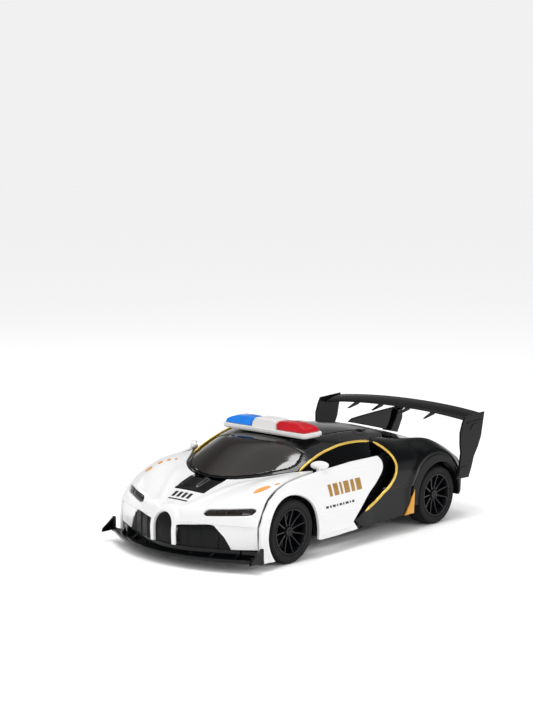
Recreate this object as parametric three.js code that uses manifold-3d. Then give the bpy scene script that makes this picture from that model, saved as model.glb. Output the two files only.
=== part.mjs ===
// Transforming robot car, about 1:18. Millimetres, X forward, Y to the car's left, Z up.
// Origin: on the ground, under the middle of the car's length and width. Shown as a car.
//
// The rear half is the base. The roof carries the robot's body underneath and turns up 90 degrees
// about the roof hinge. The nose stays level on the nose hinge at the body's far end, the doors
// swing out on parallel arms, the head rises through the vent in the hood.
import * as THREE from "three";
import { mergeVertices } from "three/addons/utils/BufferGeometryUtils.js";
import Module from "manifold-3d";

const wasm = await Module();
wasm.setup();

// ---- driving dimensions -------------------------------------------------------------------
const WHEEL_R = 20, WHEEL_W = 14, WHEEL_OUT = 62;
const FRONT_AXLE_X = 71, REAR_AXLE_X = -76;
const HALF_WIDTH = 66;
const WALL = 2;                      // moulded shell thickness
const GAP = 0.4;                     // gap between pieces that touch
const ROOF_HINGE = { x: -41, z: 58 };
const NOSE_HINGE = { x: 92, z: 32 };
const ARM_PIVOT = { x: 85, y: 37 };
const DOOR_PIVOT = { x: 51.1, y: 40 };
const VENT_HINGE = { x: 83.1, z: 45.1 };
const VENT_REACH = 15.2;             // from the vent's hinge to its front edge
const ARCH_R = 23;
const TOWER_EYE_R = 3.1;             // the hinge towers' eyes, round the roof hinge

// ---- materials ----------------------------------------------------------------------------
const plastic = (color, roughness = 0.3) => new THREE.MeshStandardMaterial({ color, roughness, metalness: 0 });
const WHITE = plastic(0xf2f2ef, 0.25), GLOSS_BLACK = plastic(0x0b0c0f, 0.12), MATTE_BLACK = plastic(0x1b1c1e, 0.5);
const TYRE = plastic(0x151515, 0.75), BLUE_LENS = plastic(0x2f86e0, 0.1), RED_LENS = plastic(0xd01828, 0.1);
const LAMP_WHITE = plastic(0xeceae6, 0.3), SMOKE = plastic(0x2a211e, 0.08), BOARD_GREEN = plastic(0x1e5a34, 0.5);
const metal = (color, roughness) => new THREE.MeshStandardMaterial({ color, roughness, metalness: 0.8 });
const GOLD = metal(0xc9983a, 0.35), SILVER = metal(0xb9babe, 0.35), STEEL = metal(0x9a9da2, 0.3);

// ---- solids from three.js geometry ----------------------------------------------------------
function solid(geometry) {
  const bare = geometry.clone();
  for (const name of Object.keys(bare.attributes)) if (name !== "position") bare.deleteAttribute(name);
  const merged = mergeVertices(bare, 1e-4);
  const mesh = new wasm.Mesh({
    numProp: 3,
    vertProperties: new Float32Array(merged.attributes.position.array),
    triVerts: new Uint32Array(merged.index.array),
  });
  return new wasm.Manifold(mesh);
}

function surfaceOf(body) {
  const mesh = body.getMesh();
  const geometry = new THREE.BufferGeometry();
  const points = new Float32Array(mesh.numVert * 3);
  for (let i = 0; i < mesh.numVert; i++) {
    for (let k = 0; k < 3; k++) points[3 * i + k] = mesh.vertProperties[i * mesh.numProp + k];
  }
  geometry.setAttribute("position", new THREE.BufferAttribute(points, 3));
  geometry.setIndex(new THREE.BufferAttribute(new Uint32Array(mesh.triVerts), 1));
  return geometry;
}

const join = (...bodies) => bodies.reduce((all, body) => all.add(body));
const cut = (body, ...tools) => tools.reduce((left, tool) => left.subtract(tool), body);
const mirrored = (body) => body.mirror([0, 1, 0]);
const both = (body) => body.add(mirrored(body));

// ---- primitive bodies -----------------------------------------------------------------------
function box(x0, x1, y0, y1, z0, z1) {
  const geometry = new THREE.BoxGeometry(x1 - x0, y1 - y0, z1 - z0);
  return solid(geometry.translate((x0 + x1) / 2, (y0 + y1) / 2, (z0 + z1) / 2));
}

function rodY(x, z, radius, y0, y1, sides = 16) {
  const geometry = new THREE.CylinderGeometry(radius, radius, y1 - y0, sides);
  return solid(geometry.translate(x, (y0 + y1) / 2, z));
}

function rodZ(x, y, radius, z0, z1, sides = 16) {
  const geometry = new THREE.CylinderGeometry(radius, radius, z1 - z0, sides);
  return solid(geometry.rotateX(Math.PI / 2).translate(x, y, (z0 + z1) / 2));
}

function shapeOf(points) {
  return new THREE.Shape(points.map(([a, b]) => new THREE.Vector2(a, b)));
}

// An outline in the side view (x, z), from y0 to y1.
function sidePlate(shape, y0, y1, curveSegments = 10) {
  const geometry = new THREE.ExtrudeGeometry(shape, { depth: y1 - y0, bevelEnabled: false, curveSegments });
  return solid(geometry.rotateX(Math.PI / 2).translate(0, y1, 0));
}

// An outline in the top view (x, y), from z0 to z1.
function topPlate(shape, z0, z1, curveSegments = 10) {
  const geometry = new THREE.ExtrudeGeometry(shape, { depth: z1 - z0, bevelEnabled: false, curveSegments });
  return solid(geometry.translate(0, 0, z0));
}

// An outline in the front view (y, z), from x0 to x1.
function frontPlate(shape, x0, x1, curveSegments = 10) {
  const geometry = new THREE.ExtrudeGeometry(shape, { depth: x1 - x0, bevelEnabled: false, curveSegments });
  const turn = new THREE.Matrix4().makeBasis(
    new THREE.Vector3(0, 1, 0), new THREE.Vector3(0, 0, 1), new THREE.Vector3(1, 0, 0));
  return solid(geometry.applyMatrix4(turn).translate(x0, 0, 0));
}

function splineShape(points) {
  const curve = new THREE.SplineCurve(points.map(([a, b]) => new THREE.Vector2(a, b)));
  return curve.getPoints(points.length * 2).map((p) => [p.x, p.y]);
}

function arc(cx, cy, radius, from, to, steps) {
  return Array.from({ length: steps + 1 }, (_, i) => {
    const angle = THREE.MathUtils.degToRad(from + ((to - from) * i) / steps);
    return [cx + radius * Math.cos(angle), cy + radius * Math.sin(angle)];
  });
}

// ---- curved panels --------------------------------------------------------------------------
const curveThrough = (points) => new THREE.CatmullRomCurve3(points, false, "centripetal");
const rowOf = (points) => points.map((p) => new THREE.Vector3(...p));

// Rows given from the centre line out are mirrored to run from right to left.
function fullRow(points) {
  const right = points.slice(1).reverse().map(([x, y, z]) => [x, -y, z]);
  return [...right, ...points];
}

// A closed panel of even thickness under a net of points: u runs across rows, v along them.
function panel(net, uSteps, vSteps, thickness = WALL) {
  const rows = net.map((row) => curveThrough(rowOf(row)));
  const at = (u, v) => curveThrough(rows.map((row) => row.getPoint(v))).getPoint(u);
  const step = 1e-3;
  const normal = (u, v) => {
    const du = at(Math.min(1, u + step), v).sub(at(Math.max(0, u - step), v));
    const dv = at(u, Math.min(1, v + step)).sub(at(u, Math.max(0, v - step)));
    return du.cross(dv).normalize();
  };
  const middle = at(0.5, 0.5);
  const fromAxis = middle.clone().sub(new THREE.Vector3(middle.x, 0, WHEEL_R));
  const facing = Math.sign(normal(0.5, 0.5).dot(fromAxis));

  const outer = [], inner = [];
  for (let i = 0; i <= uSteps; i++) {
    for (let j = 0; j <= vSteps; j++) {
      const point = at(i / uSteps, j / vSteps);
      outer.push(point);
      inner.push(point.clone().addScaledVector(normal(i / uSteps, j / vSteps), -facing * thickness));
    }
  }
  const triangles = [];
  const wide = vSteps + 1, below = outer.length;
  const quad = (a, b, c, d) => triangles.push(...(facing > 0 ? [a, b, c, a, c, d] : [a, c, b, a, d, c]));
  for (let i = 0; i < uSteps; i++) {
    for (let j = 0; j < vSteps; j++) {
      const a = i * wide + j;
      quad(a, a + wide, a + wide + 1, a + 1);
      quad(below + a, below + a + 1, below + a + wide + 1, below + a + wide);
    }
    const first = i * wide, last = first + vSteps;
    quad(first, below + first, below + first + wide, first + wide);
    quad(last + wide, below + last + wide, below + last, last);
  }
  for (let j = 0; j < vSteps; j++) {
    const last = uSteps * wide + j;
    quad(j + 1, below + j + 1, below + j, j);
    quad(last, below + last, below + last + 1, last + 1);
  }
  const geometry = new THREE.BufferGeometry();
  const points = [...outer, ...inner].flatMap((p) => p.toArray());
  geometry.setAttribute("position", new THREE.BufferAttribute(new Float32Array(points), 3));
  geometry.setIndex(triangles);
  return solid(geometry);
}

// ---- the base: rear shell, trims and wing ------------------------------------------------------
const sideLine = [[-18.6, 64], [-26, 57], [-30, 47], [-26, 38], [-14, 29], [2, 22]];   // gold line of the quarter
const doorRear = [[-17, 54.5], [-20.2, 51], [-20.2, 46.5], [-13, 39.5], [-3.6, 32.6], [5.5, 24], [13.6, 17]];

const rearNet = [
  [[-12, 0, 67.5], [-12, 20, 67], [-12, 40, 65], [-12, 50, 62.5], [-6, 57, 54], [4, 61, 44], [12, 62, 30], [16, 62.6, 11]],
  [[-30, 0, 67], [-30, 20, 66.2], [-30, 40, 64], [-30, 51, 61], [-30, 59, 53], [-30, 62, 43], [-30, 62, 30], [-30, 62.8, 12]],
  [[-52, 0, 65], [-52, 20, 63.5], [-52, 38, 60.5], [-52, 50, 58.5], [-52, 59.5, 52], [-52, 62.5, 42], [-52, 62.5, 30], [-52, 63, 13]],
  [[-76, 0, 59], [-76, 20, 57.5], [-76, 38, 56], [-76, 51, 57.5], [-76, 60.5, 51], [-76, 63, 42], [-76, 62.5, 30], [-76, 62.5, 14]],
  [[-93, 0, 54.5], [-93, 20, 53], [-93, 38, 51.5], [-93, 50, 51.5], [-93, 59.5, 46], [-93, 62.5, 38], [-93, 62.5, 28], [-93, 62, 16]],
  [[-105, 0, 49.5], [-105, 20, 48.5], [-105, 38, 47], [-105, 49, 45], [-105, 57, 41], [-105, 60.5, 34], [-105, 60.5, 27], [-105, 60, 18]],
];

function rearShell() {
  const skin = panel(rearNet.map(fullRow), 9, 18);
  const ahead = splineShape(sideLine);
  const sill = [[10.4, 17.4], [4.6, 12.6], [6, 0]];
  const front = sidePlate(shapeOf([...ahead, ...sill, [30, 0], [30, 80], [-18.6, 80]]), -80, 80, 8);
  const roofOpening = topPlate(shapeOf([
    [30, -80], [30, 80], [-18.6, 80], [-18.6, 50], [-25, 45.4], [-36, 42.6], [-51.4, 42],
    [-51.4, -42], [-36, -42.6], [-25, -45.4], [-18.6, -50], [-18.6, -80],
  ]), 55, 90);
  const arch = rodY(REAR_AXLE_X + 2.5, 21.5, 27.2, 40, 90, 24);
  const underArch = box(REAR_AXLE_X - 24, REAR_AXLE_X + 24, 40, 90, 0, 15);
  const openings = both(join(arch, underArch));
  const sillCut = box(-40, 20, -80, 80, -5, 11.5);
  return cut(skin, front, roofOpening, openings, sillCut);
}

function archFlare() {
  const ring = (radius, dx, dz, y0, y1) => rodY(REAR_AXLE_X + dx, 20 + dz, radius, y0, y1, 24);
  const flare = cut(ring(26.7, 2.5, 1.5, 57, 63.6), ring(22.6, 0, 0, 50, 70),
    box(-120, -30, 50, 70, -10, 13.5));
  return flare;
}

function sideScoop() {
  const outer = splineShape(sideLine.map(([x, z]) => [x - 1, z - 0.5]));
  const inner = splineShape(doorRear.map(([x, z]) => [x + 5, z + 1])).reverse();
  const plate = sidePlate(shapeOf([...outer, ...inner]), 53.4, 55.2, 6);
  return plate.intersect(box(-40, 30, 0, 80, 15, 54));
}

function wingBlade() {
  const chord = (y) => -118.5 + 1.5 * (y / 64) ** 2;
  const height = (y) => 72.6 - 3.4 * (Math.abs(y) / 63.4) ** 2.2;
  const slice = (y) => [[-6.5, -1.2], [-6.3, 1.3], [-3, 1.5], [4, 0.6], [12.5, -1.4], [12, -2.4], [3, -1.6]]
    .map(([x, z]) => new THREE.Vector3(chord(y) + x, y, height(y) + z));
  const count = 14;
  const rings = Array.from({ length: count + 1 }, (_, i) => slice(-63.4 + (126.8 * i) / count));
  const size = rings[0].length, triangles = [];
  for (let i = 0; i < count; i++) {
    for (let k = 0; k < size; k++) {
      const a = i * size + k, b = i * size + ((k + 1) % size);
      triangles.push(a, a + size, b, b, a + size, b + size);
    }
  }
  const last = count * size;
  for (let k = 1; k < size - 1; k++) triangles.push(0, k, k + 1, last, last + k + 1, last + k);
  const geometry = new THREE.BufferGeometry();
  geometry.setAttribute("position", new THREE.Float32BufferAttribute(rings.flat().flatMap((p) => p.toArray()), 3));
  geometry.setIndex(triangles);
  let blade = solid(geometry);
  if (blade.volume() < 0) {
    for (let t = 0; t < triangles.length; t += 3) [triangles[t], triangles[t + 1]] = [triangles[t + 1], triangles[t]];
    geometry.setIndex(triangles);
    blade = solid(geometry);
  }
  const gusset = (y) => sidePlate(shapeOf([[-113, 0.2], [-106, -1.2], [-96, -5.2], [-108, -3.8]]), y - 0.8, y + 0.8)
    .translate(0, 0, height(y));
  return join(blade, ...[-34, -12, 12, 34].map(gusset));
}

function wingEndplate() {
  const shape = shapeOf([[-124.6, 71.5], [-102, 70.5], [-97, 60], [-98, 46], [-95.5, 34], [-93, 28.5], [-107, 28],
    [-113, 42], [-121, 55]]);
  return sidePlate(shape, 64, HALF_WIDTH);
}

function wingPylon() {
  const fin = sidePlate(shapeOf([[-56, 65.4], [-60, 67.4], [-88, 69.2], [-106.6, 69.9], [-118, 70.6],
    [-118, 68], [-110, 62], [-106.5, 52], [-92, 56.4], [-76, 60.4], [-62, 63.8]]), -1.3, 1.3);
  const post = sidePlate(shapeOf([[-106.5, 52], [-98, 54.2], [-104, 62], [-106.8, 68.6], [-112, 69], [-112, 62]]), -4, 4);
  return join(fin, post);
}

function tailPanel() {
  const outline = shapeOf([[-57, 18.5], [-57.4, 33], [-54, 39], [-46, 42.6], [-36, 44.4], [0, 46], [36, 44.4],
    [46, 42.6], [54, 39], [57.4, 33], [57, 18.5], [44, 13], [-44, 13]]);
  const plate = frontPlate(outline, -107.8, -105.8);
  const vents = both(frontPlate(shapeOf([[12, 18], [30, 18], [34, 25], [14, 25]]), -112, -100));
  return cut(plate, vents);
}

function floorPan() {
  const deck = topPlate(shapeOf([[-105, -41], [-98, -46], [-56, -46], [-50, -41], [44, -38], [44, 38],
    [-50, 41], [-56, 46], [-98, 46], [-105, 41]]), 5, 7.5);
  const wheelGaps = both(join(box(-98.5, -53.5, 43.5, 60, 0, 20), box(29, 39, 15.5, 24.5, 0, 20)));
  const rims = both(box(-31, 42, 36, 37.8, 7, 10.2));
  return cut(join(deck, rims), wheelGaps, box(-24.5, -15.5, -2.6, 2.6, 0, 10));
}

function hingeFrame() {
  const side = shapeOf([[-52, 7.9], [-32, 7.9], [-35, 40], [-38, 57], [-42.6, 55.4], [-42.9, 50], [-46, 36]]);
  const eye = rodY(ROOF_HINGE.x, ROOF_HINGE.z, TOWER_EYE_R, 35.4, 39.6, 16);
  const bore = rodY(ROOF_HINGE.x, ROOF_HINGE.z, 1.9, 30, 50, 20);
  const towers = both(cut(join(sidePlate(side, 35.4, 39.6), eye), bore));
  return join(towers, box(-52, -32, -35.2, 35.2, 7.9, 9.4), both(box(-50, -34, 34, 36, 7.9, 9.4)));
}

const GEAR = { teeth: 18, radius: 7.6 }, PINION = { teeth: 6, radius: 2.55 };
const MOTOR = { x: -65.7, z: 20, r: 8 };

function gearboxCase() {
  const tub = cut(box(-87, -55.6, -29, 29, 8, 34), box(-85.2, -57.4, -27.2, 27.2, 10, 40));
  const bores = both(join(rodY(REAR_AXLE_X, 20, 2.5, 20, 40, 20), rodY(MOTOR.x, MOTOR.z, 1.3, 20, 40, 12)));
  return cut(tub, bores);
}

function toothed({ teeth, radius }, x, z, y0, y1, turn, bore) {
  const depth = 0.62;
  const points = Array.from({ length: teeth * 4 }, (_, i) => {
    const angle = ((i + turn) / (teeth * 4)) * 2 * Math.PI;
    const r = radius + (i % 4 < 2 ? depth : -depth * 1.25) - 0.12;
    return [x + r * Math.cos(angle), z + r * Math.sin(angle)];
  });
  return cut(sidePlate(shapeOf(points), y0, y1), rodY(x, z, bore, y0 - 1, y1 + 1, 16));
}

// Left-hand bodies are mirrored for the right.
const rearAxle = () => join(rodY(REAR_AXLE_X, 20, 2, 22, 54, 12), toothed(GEAR, REAR_AXLE_X, 20, 30.5, 33.5, -0.5, 1.2));
const motorPinion = () => join(toothed(PINION, MOTOR.x, MOTOR.z, 30.3, 33.7, 1.5, 0.4),
  rodY(MOTOR.x, MOTOR.z, 0.9, 26.2, 35, 12));
const driveMotor = () => rodY(MOTOR.x, MOTOR.z, MOTOR.r, 3, 25.6, 16);

function batteryPack() {
  return join(rodY(-96.3, 17.5, 6.9, -25, 25, 18), rodY(-96.3, 31, 6.9, -25, 25, 18));
}

const batteryCover = () => box(-104, -89, -27, 27, 3.4, 4.7);
const controlBoard = () => join(box(-88, -58, -24, 24, 37, 38.4), box(-80, -72, -6, 6, 38.3, 40.4),
  box(-68, -62, 8, 16, 38.3, 42));
const liftGearbox = () => join(box(-52, -33, 40.2, 51, 20, 46), rodZ(-42.5, 46, 5, 8.2, 20.4, 16));
const powerSwitch = () => join(box(-24, -19, -2.2, 2.2, 3.7, 8.2), box(-26, -17, -4, 4, 7.9, 9.4));

// ---- wheels ------------------------------------------------------------------------------------
function lathe(profile, segments) {
  const geometry = new THREE.LatheGeometry(profile.map(([r, y]) => new THREE.Vector2(r, y)), segments);
  const body = solid(geometry);
  return body.volume() > 0 ? body : solid(flipped(geometry));
}

function flipped(geometry) {
  const copy = geometry.clone();
  const index = copy.index.array;
  for (let t = 0; t < index.length; t += 3) [index[t], index[t + 1]] = [index[t + 1], index[t]];
  return copy;
}

function tyre(x) {
  const r = WHEEL_R, inner = 14.6, y0 = WHEEL_OUT - WHEEL_W, y1 = WHEEL_OUT;
  return lathe([[inner, y0 + 0.6], [r - 1.6, y0], [r, y0 + 1.6], [r, y1 - 1.6], [r - 1.6, y1], [inner, y1 - 0.6],
    [inner, y0 + 0.6]], 24).translate(x, 0, WHEEL_R);
}

function rim(x) {
  const y1 = WHEEL_OUT;
  const profile = [[2.2, 52], [4, 52], [4, y1 - 4.6], [12.4, y1 - 4.6], [12.4, 49.4], [14.2, 49.4], [14.2, y1 - 0.8],
    [12.6, y1 - 0.8], [12, y1 - 2.8], [3.4, y1 - 2.4], [0, y1 - 2.4], [0, y1 - 5.4], [2.2, y1 - 5.4], [2.2, 52]];
  return lathe(profile, 20).translate(x, 0, WHEEL_R);
}

function caster() {
  const { x, y, r } = { x: 34, y: 20, r: 4 };
  return join(both(rodY(x, r, r, y - 2.6, y + 2.6, 20)), rodY(x, r, 0.9, -y - 3.9, y + 3.9, 8));
}

// ---- the roof and the robot's body under it ------------------------------------------------------
const roofNet = [
  [[80.6, 0, 47.6], [76.6, 18, 48.3], [66, 33, 50.2], [47.5, 45.5, 52.2]],
  [[64, 0, 58.4], [61, 17, 58.3], [52, 31, 58], [38, 45.6, 56.8]],
  [[48, 0, 66.2], [46, 16, 65.8], [38, 30, 64.4], [27, 45.6, 60.6]],
  [[28, 0, 68.2], [27, 17, 67.9], [22, 32, 66.8], [8.7, 47, 64.2]],
  [[0, 0, 68.4], [0, 17, 68.1], [-2, 33, 66.9], [-6, 48, 64.3]],
  [[-26, 0, 67.5], [-26, 18, 67.1], [-26, 34, 65.6], [-20, 49.4, 62.9]],
  [[-48.2, 0, 65.8], [-48.2, 18, 65], [-48.2, 34, 63.2], [-30, 49.6, 61.4]],
];
const glassOutline = () => {
  const half = [[79.2, 0], [75.4, 17], [65, 31.2], [52.5, 39.6], [44.5, 38.6], [34.5, 36.4], [38, 28], [43.2, 15]];
  return [...half, [44.6, 0], ...half.slice(1).reverse().map(([x, y]) => [x, -y])];
};
const scaled = (points, cx, k) => points.map(([x, y]) => [cx + (x - cx) * k, y * k]);

const ROOF_GRID = { u: 12, v: 12 };
function roofSkin() {
  const skin = panel(roofNet.map(fullRow), ROOF_GRID.u, ROOF_GRID.v);
  const rearEdge = both(topPlate(shapeOf([[-60, 41.6], [-48, 41.6], [-35, 42.2], [-24.4, 44.8], [-18, 49.4], [-18, 80],
    [-60, 80]]), 40, 90));
  return cut(skin, rearEdge);
}

function roofPanel() {
  const ribs = both(box(-20, 34, 18, 19.6, 49, 66.6));
  const lugs = both(box(-44.2, -37.8, 30, 33.4, 56, 63));
  const rod = rodY(ROOF_HINGE.x, ROOF_HINGE.z, 1.6, -39.2, 39.2, 14);
  const reliefs = both(rodY(ROOF_HINGE.x, ROOF_HINGE.z, TOWER_EYE_R + GAP, 34.8, 40.2, 16));
  const skin = cut(roofSkin(), topPlate(shapeOf(glassOutline()), 40, 90), reliefs);
  return join(skin, ribs, lugs, rod, sideWindows());
}

const windshield = () => roofSkin().intersect(topPlate(shapeOf(scaled(glassOutline(), 58, 0.985)), 40, 90));

function sideWindows() {
  const net = [
    [[46, 45.6, 51.8], [46.4, 45.8, 50.6], [46.6, 46.2, 50]],
    [[27, 45.3, 60.1], [28, 47, 54], [28.6, 49.2, 50]],
    [[8.7, 46.7, 63.6], [9, 48.6, 56], [9, 51, 50]],
    [[-6, 47.7, 63.7], [-6, 49.4, 56], [-6, 51.8, 50]],
    [[-18.4, 48.9, 62.4], [-18.4, 50, 55.4], [-18.4, 52, 50]],
  ];
  return both(panel(net, 6, 2, 1.6));
}

const BAR = { x: 22, halfX: 9.2, half: 37, trayTop: 72, top: 77.8 };
const barPlan = (halfX, halfY, corner) => {
  const [cx, cy] = [halfX - corner, halfY - corner];
  return [...arc(cx, cy, corner, 0, 90, 4), ...arc(-cx, cy, corner, 90, 180, 4),
    ...arc(-cx, -cy, corner, 180, 270, 4), ...arc(cx, -cy, corner, 270, 360, 4)];
};

function lightBarBase() {
  const plate = topPlate(shapeOf(barPlan(BAR.halfX, BAR.half, 3)), 68.9, BAR.trayTop);
  const humpFoot = BAR.trayTop - 0.2;
  const hump = frontPlate(shapeOf([[-10.6, humpFoot], [-9.2, BAR.top], [9.2, BAR.top], [10.6, humpFoot]]), -8, 8);
  const feet = both(box(-6, 6, 21, 27, 68.4, 69.2));
  return join(plate, hump, feet).translate(BAR.x, 0, 0);
}

function lightLens(side) {
  const foot = BAR.trayTop + 0.3;
  const outline = shapeOf([[11.2, foot], [10.1, BAR.top - 0.2], [30, BAR.top - 0.4], [33.8, 75.4], [34.8, foot]]);
  const lens = frontPlate(outline, BAR.x - 7.4, BAR.x + 7.4);
  return side > 0 ? lens : mirrored(lens);
}

function torsoCore() {
  const half = [[60, 0], [60, 30], [20, 30], [12, 17], [-8, 17], [-14, 25], [-52, 25], [-53, 3], [-30, 3], [-30, 0]];
  const plan = [...half, ...half.slice(1, -1).reverse().map(([x, y]) => [x, -y])];
  const back = topPlate(shapeOf(plan), 26, 48);
  const arms = both(sidePlate(shapeOf([[58, 27], [92, 27.6], ...arc(92, 32, 4.4, -60, 60, 6), [92, 36.4], [58, 36.4]]), 14.5, 19.5));
  const pins = both(rodY(NOSE_HINGE.x, NOSE_HINGE.z, 1.7, 13.6, 25.8, 14));
  const shoulders = both(join(box(26, 52, 29.8, 33.4, 22, 44), box(30, 48, 27.4, 33.4, 19.4, 30)));
  const lamp = rodZ(36, 0, 6, 20, 27, 16);
  return cut(join(back, arms, pins, shoulders), lamp, box(15, 50, -12, 12, 40, 60));
}

function chestArmour() {
  const half = [[57, 0], [57, 20], [50, 26], [34, 24], [24, 12], [20, 0]];
  const plan = [...half, ...half.slice(1, -1).reverse().map(([x, y]) => [x, -y])];
  const slab = topPlate(shapeOf(plan), 16.4, 25.6);
  const chamfer = both(frontPlate(shapeOf([[12, 10], [40, 10], [40, 23]]), 10, 70));
  return cut(slab, chamfer);
}

function chestCrest() {
  const half = [[54, 3.4], [52, 14], [44, 11], [36, 4.4], [30, 0]];
  const plan = [...half, ...half.slice(0, -1).reverse().map(([x, y]) => [x, -y])];
  return topPlate(shapeOf(plan), 12.6, 16);
}

function waistArmour() {
  const half = [[17, 5], [13, 19], [5, 22], [2, 13], [-12, 4], [-17, 0]];
  const plan = [...half, ...half.slice(0, -1).reverse().map(([x, y]) => [x, -y])];
  return topPlate(shapeOf(plan), 16, 25.6);
}

const thighPlate = () => topPlate(shapeOf([[-1, 15], [-4, 23], [-20, 21], [-24, 15], [-12, 9]]), 17.6, 25.6);

function shinArmour() {
  const step = 6.4;
  const segments = [0, 1, 2, 3].map((i) => topPlate(shapeOf([[-25 - step * i, 8], [-25 - step * i, 22],
    [-30.8 - step * i, 23], [-30.8 - step * i, 7]]), 15.4 + 0.5 * i, 22));
  return join(box(-51, -25, 7.6, 22, 20, 25.6), ...segments);
}

// ---- the nose ------------------------------------------------------------------------------------
const noseNet = [
  [[81.6, 0, 46.9], [77.6, 18, 47.7], [67, 34, 49.9], [53, 44.5, 52], [42, 53, 52.6]],
  [[96, 0, 42.4], [93, 18, 43.3], [85, 34, 46.8], [76, 46, 50.2], [68, 55, 50.6]],
  [[108, 0, 37.6], [105, 18, 38.5], [99, 34, 41.6], [93, 46, 43.6], [86.5, 56, 43.6]],
  [[117, 0, 33.4], [113.6, 18, 34], [108, 34, 35.4], [101.5, 46, 36.8], [94.6, 57.6, 36]],
  [[121, 0, 24], [118, 18, 24], [112, 34, 25.2], [106, 46, 25.6], [100.4, 58.4, 26]],
  [[121, 0, 12.6], [118.4, 18, 12.6], [112.6, 34, 12.6], [107, 46, 12.6], [100.8, 59.4, 13.4]],
];
const noseSkin = () => panel(noseNet.map(fullRow), 10, 16);
const ventPlan = (margin) => topPlate(shapeOf([[60, -14.2 + margin], [84, -14.2 + margin], [98.6 - margin, -13 + margin],
  [98.6 - margin, 13 - margin], [84, 14.2 - margin], [60, 14.2 - margin]]), 30, 60);
const grilleArch = (margin) => {
  const w = 8 - margin;
  return frontPlate(shapeOf([[-w, 5], [w, 5], ...arc(0, 24, w, 0, 180, 8)]), 90, 140);
};
const intakePlan = (m) => frontPlate(shapeOf([[11 + m, 5], [47 - m, 5], [44 - m, 14], [34 - m, 27 - m], [11 + m, 25 - m]]), 90, 140);
const lampSlot = (m) => frontPlate(shapeOf([[25 + m, 31.6 + m], [28, 35.2 - m], [54 - m, 38.6 - m], [56 - 2 * m, 36],
  [52 - m, 33.4 + m]]), 80, 130);

function hoodShell() {
  return cut(noseSkin(), ventPlan(0), grilleArch(0), both(join(intakePlan(0), lampSlot(0))));
}

// A skin set back from the nose shell, for the pieces that fill its openings.
const recessed = (depth, thickness) => panel(noseNet.slice(1).map((row) => fullRow(row.map(([x, y, z]) =>
  [x - depth, y * (1 - depth / 120), z - depth * 0.5]))), 8, 12, thickness);
const grille = () => recessed(0.4, 1.6).intersect(grilleArch(GAP));
const intakePanels = () => recessed(0.4, 1.6).intersect(both(intakePlan(GAP)));
const headlight = () => recessed(0.6, 1.4).intersect(lampSlot(GAP + 0.3));

// The wall between the splitter and the bumper's lower edge.
function chinWall() {
  const edge = (inset) => curveThrough(rowOf(fullRow(noseNet.at(-1).map(([x, y]) => [x - inset, y * (1 - inset / 60), 0]))))
    .getPoints(16).map((p) => [p.x, p.y]);
  const plan = shapeOf([...edge(0.8), ...edge(2.6).reverse()]);
  return join(topPlate(plan, 8.5, 12), both(topPlate(plan, 8.5, 14).intersect(box(90, 130, 12, 44, 8, 15))));
}

function splitter() {
  const half = [[125, 0], [124.2, 14], [120, 34], [112, 52], [105, 64], [103.4, 66], [100.8, 66], [101.4, 58], [104, 44],
    [110, 24], [111.4, 0]];
  const plan = [...half, ...half.slice(1, -1).reverse().map(([x, y]) => [x, -y])];
  const blade = topPlate(shapeOf(plan), 6, 9);
  const fins = both(sidePlate(shapeOf([[100.8, 7], [100.8, 15.6], [103, 16], [112, 9.6], [113, 7]]), 64.6, HALF_WIDTH));
  return join(blade, fins, chinWall(), intakePanels());
}

function noseFrame() {
  const half = [[97, 0], [97, 30], [92, 42], [80, 43], [69.4, 34], [68.4, 26], [74, 22], [77.6, 14], [78, 0]];
  const plan = [...half, ...half.slice(1, -1).reverse().map(([x, y]) => [x, -y])];
  const plate = cut(topPlate(shapeOf(plan), 37.3, 39.2), box(83.1, 99, -10.8, 10.8, 30, 50));
  const ears = both(cut(sidePlate(shapeOf([[84, 38], [86, 28], [92, 25], [98, 28], [97, 38]]), 20.3, 24.3),
    rodY(NOSE_HINGE.x, NOSE_HINGE.z, 2.05, 15, 30, 20)));
  const posts = both(rodZ(ARM_PIVOT.x, ARM_PIVOT.y, 1.7, 17.4, 37.8, 14));
  const stays = both(join(box(94, 96.8, 26, 29, 33, 38), box(95, 103.6, 26, 29, 33, 36.6)));
  const hanger = both(join(box(100.6, 103.6, 25.6, 29.4, 9.4, 35), box(100.6, 111, 25.6, 29.4, 9.4, 11.4)));
  const guides = both(box(84, 98, 11.4, 13.2, 20, 38));
  return cut(join(plate, ears, posts, guides, stays, hanger), rodY(NOSE_HINGE.x, NOSE_HINGE.z, 2.05, 10, 30, 20));
}

function robotHead() {
  const skull = lathe([[0, 0], [7, 0], [9.4, 3], [9.6, 10], [8.8, 15], [6, 18.6], [2.6, 20], [0, 20.2]], 20);
  const neck = rodZ(0, 0, 4.6, -8.6, 0.4, 14);
  const head = join(skull.rotate([90, 0, 0]), neck, box(-5, 5, -9.8, 9.8, -8.6, -5.6));
  return head.scale([0.68, 1, 1]).translate(91.6, 0, 18.8);
}

function ventFlap() {
  const swing = rodY(VENT_HINGE.x, VENT_HINGE.z, VENT_REACH, -30, 30, 48);
  const skin = noseSkin().intersect(ventPlan(GAP)).intersect(box(82.2, 110, -30, 30, 20, 80)).intersect(swing);
  const barrel = rodY(VENT_HINGE.x, VENT_HINGE.z, 0.9, -13, 13, 12);
  return join(skin, barrel);
}

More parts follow.
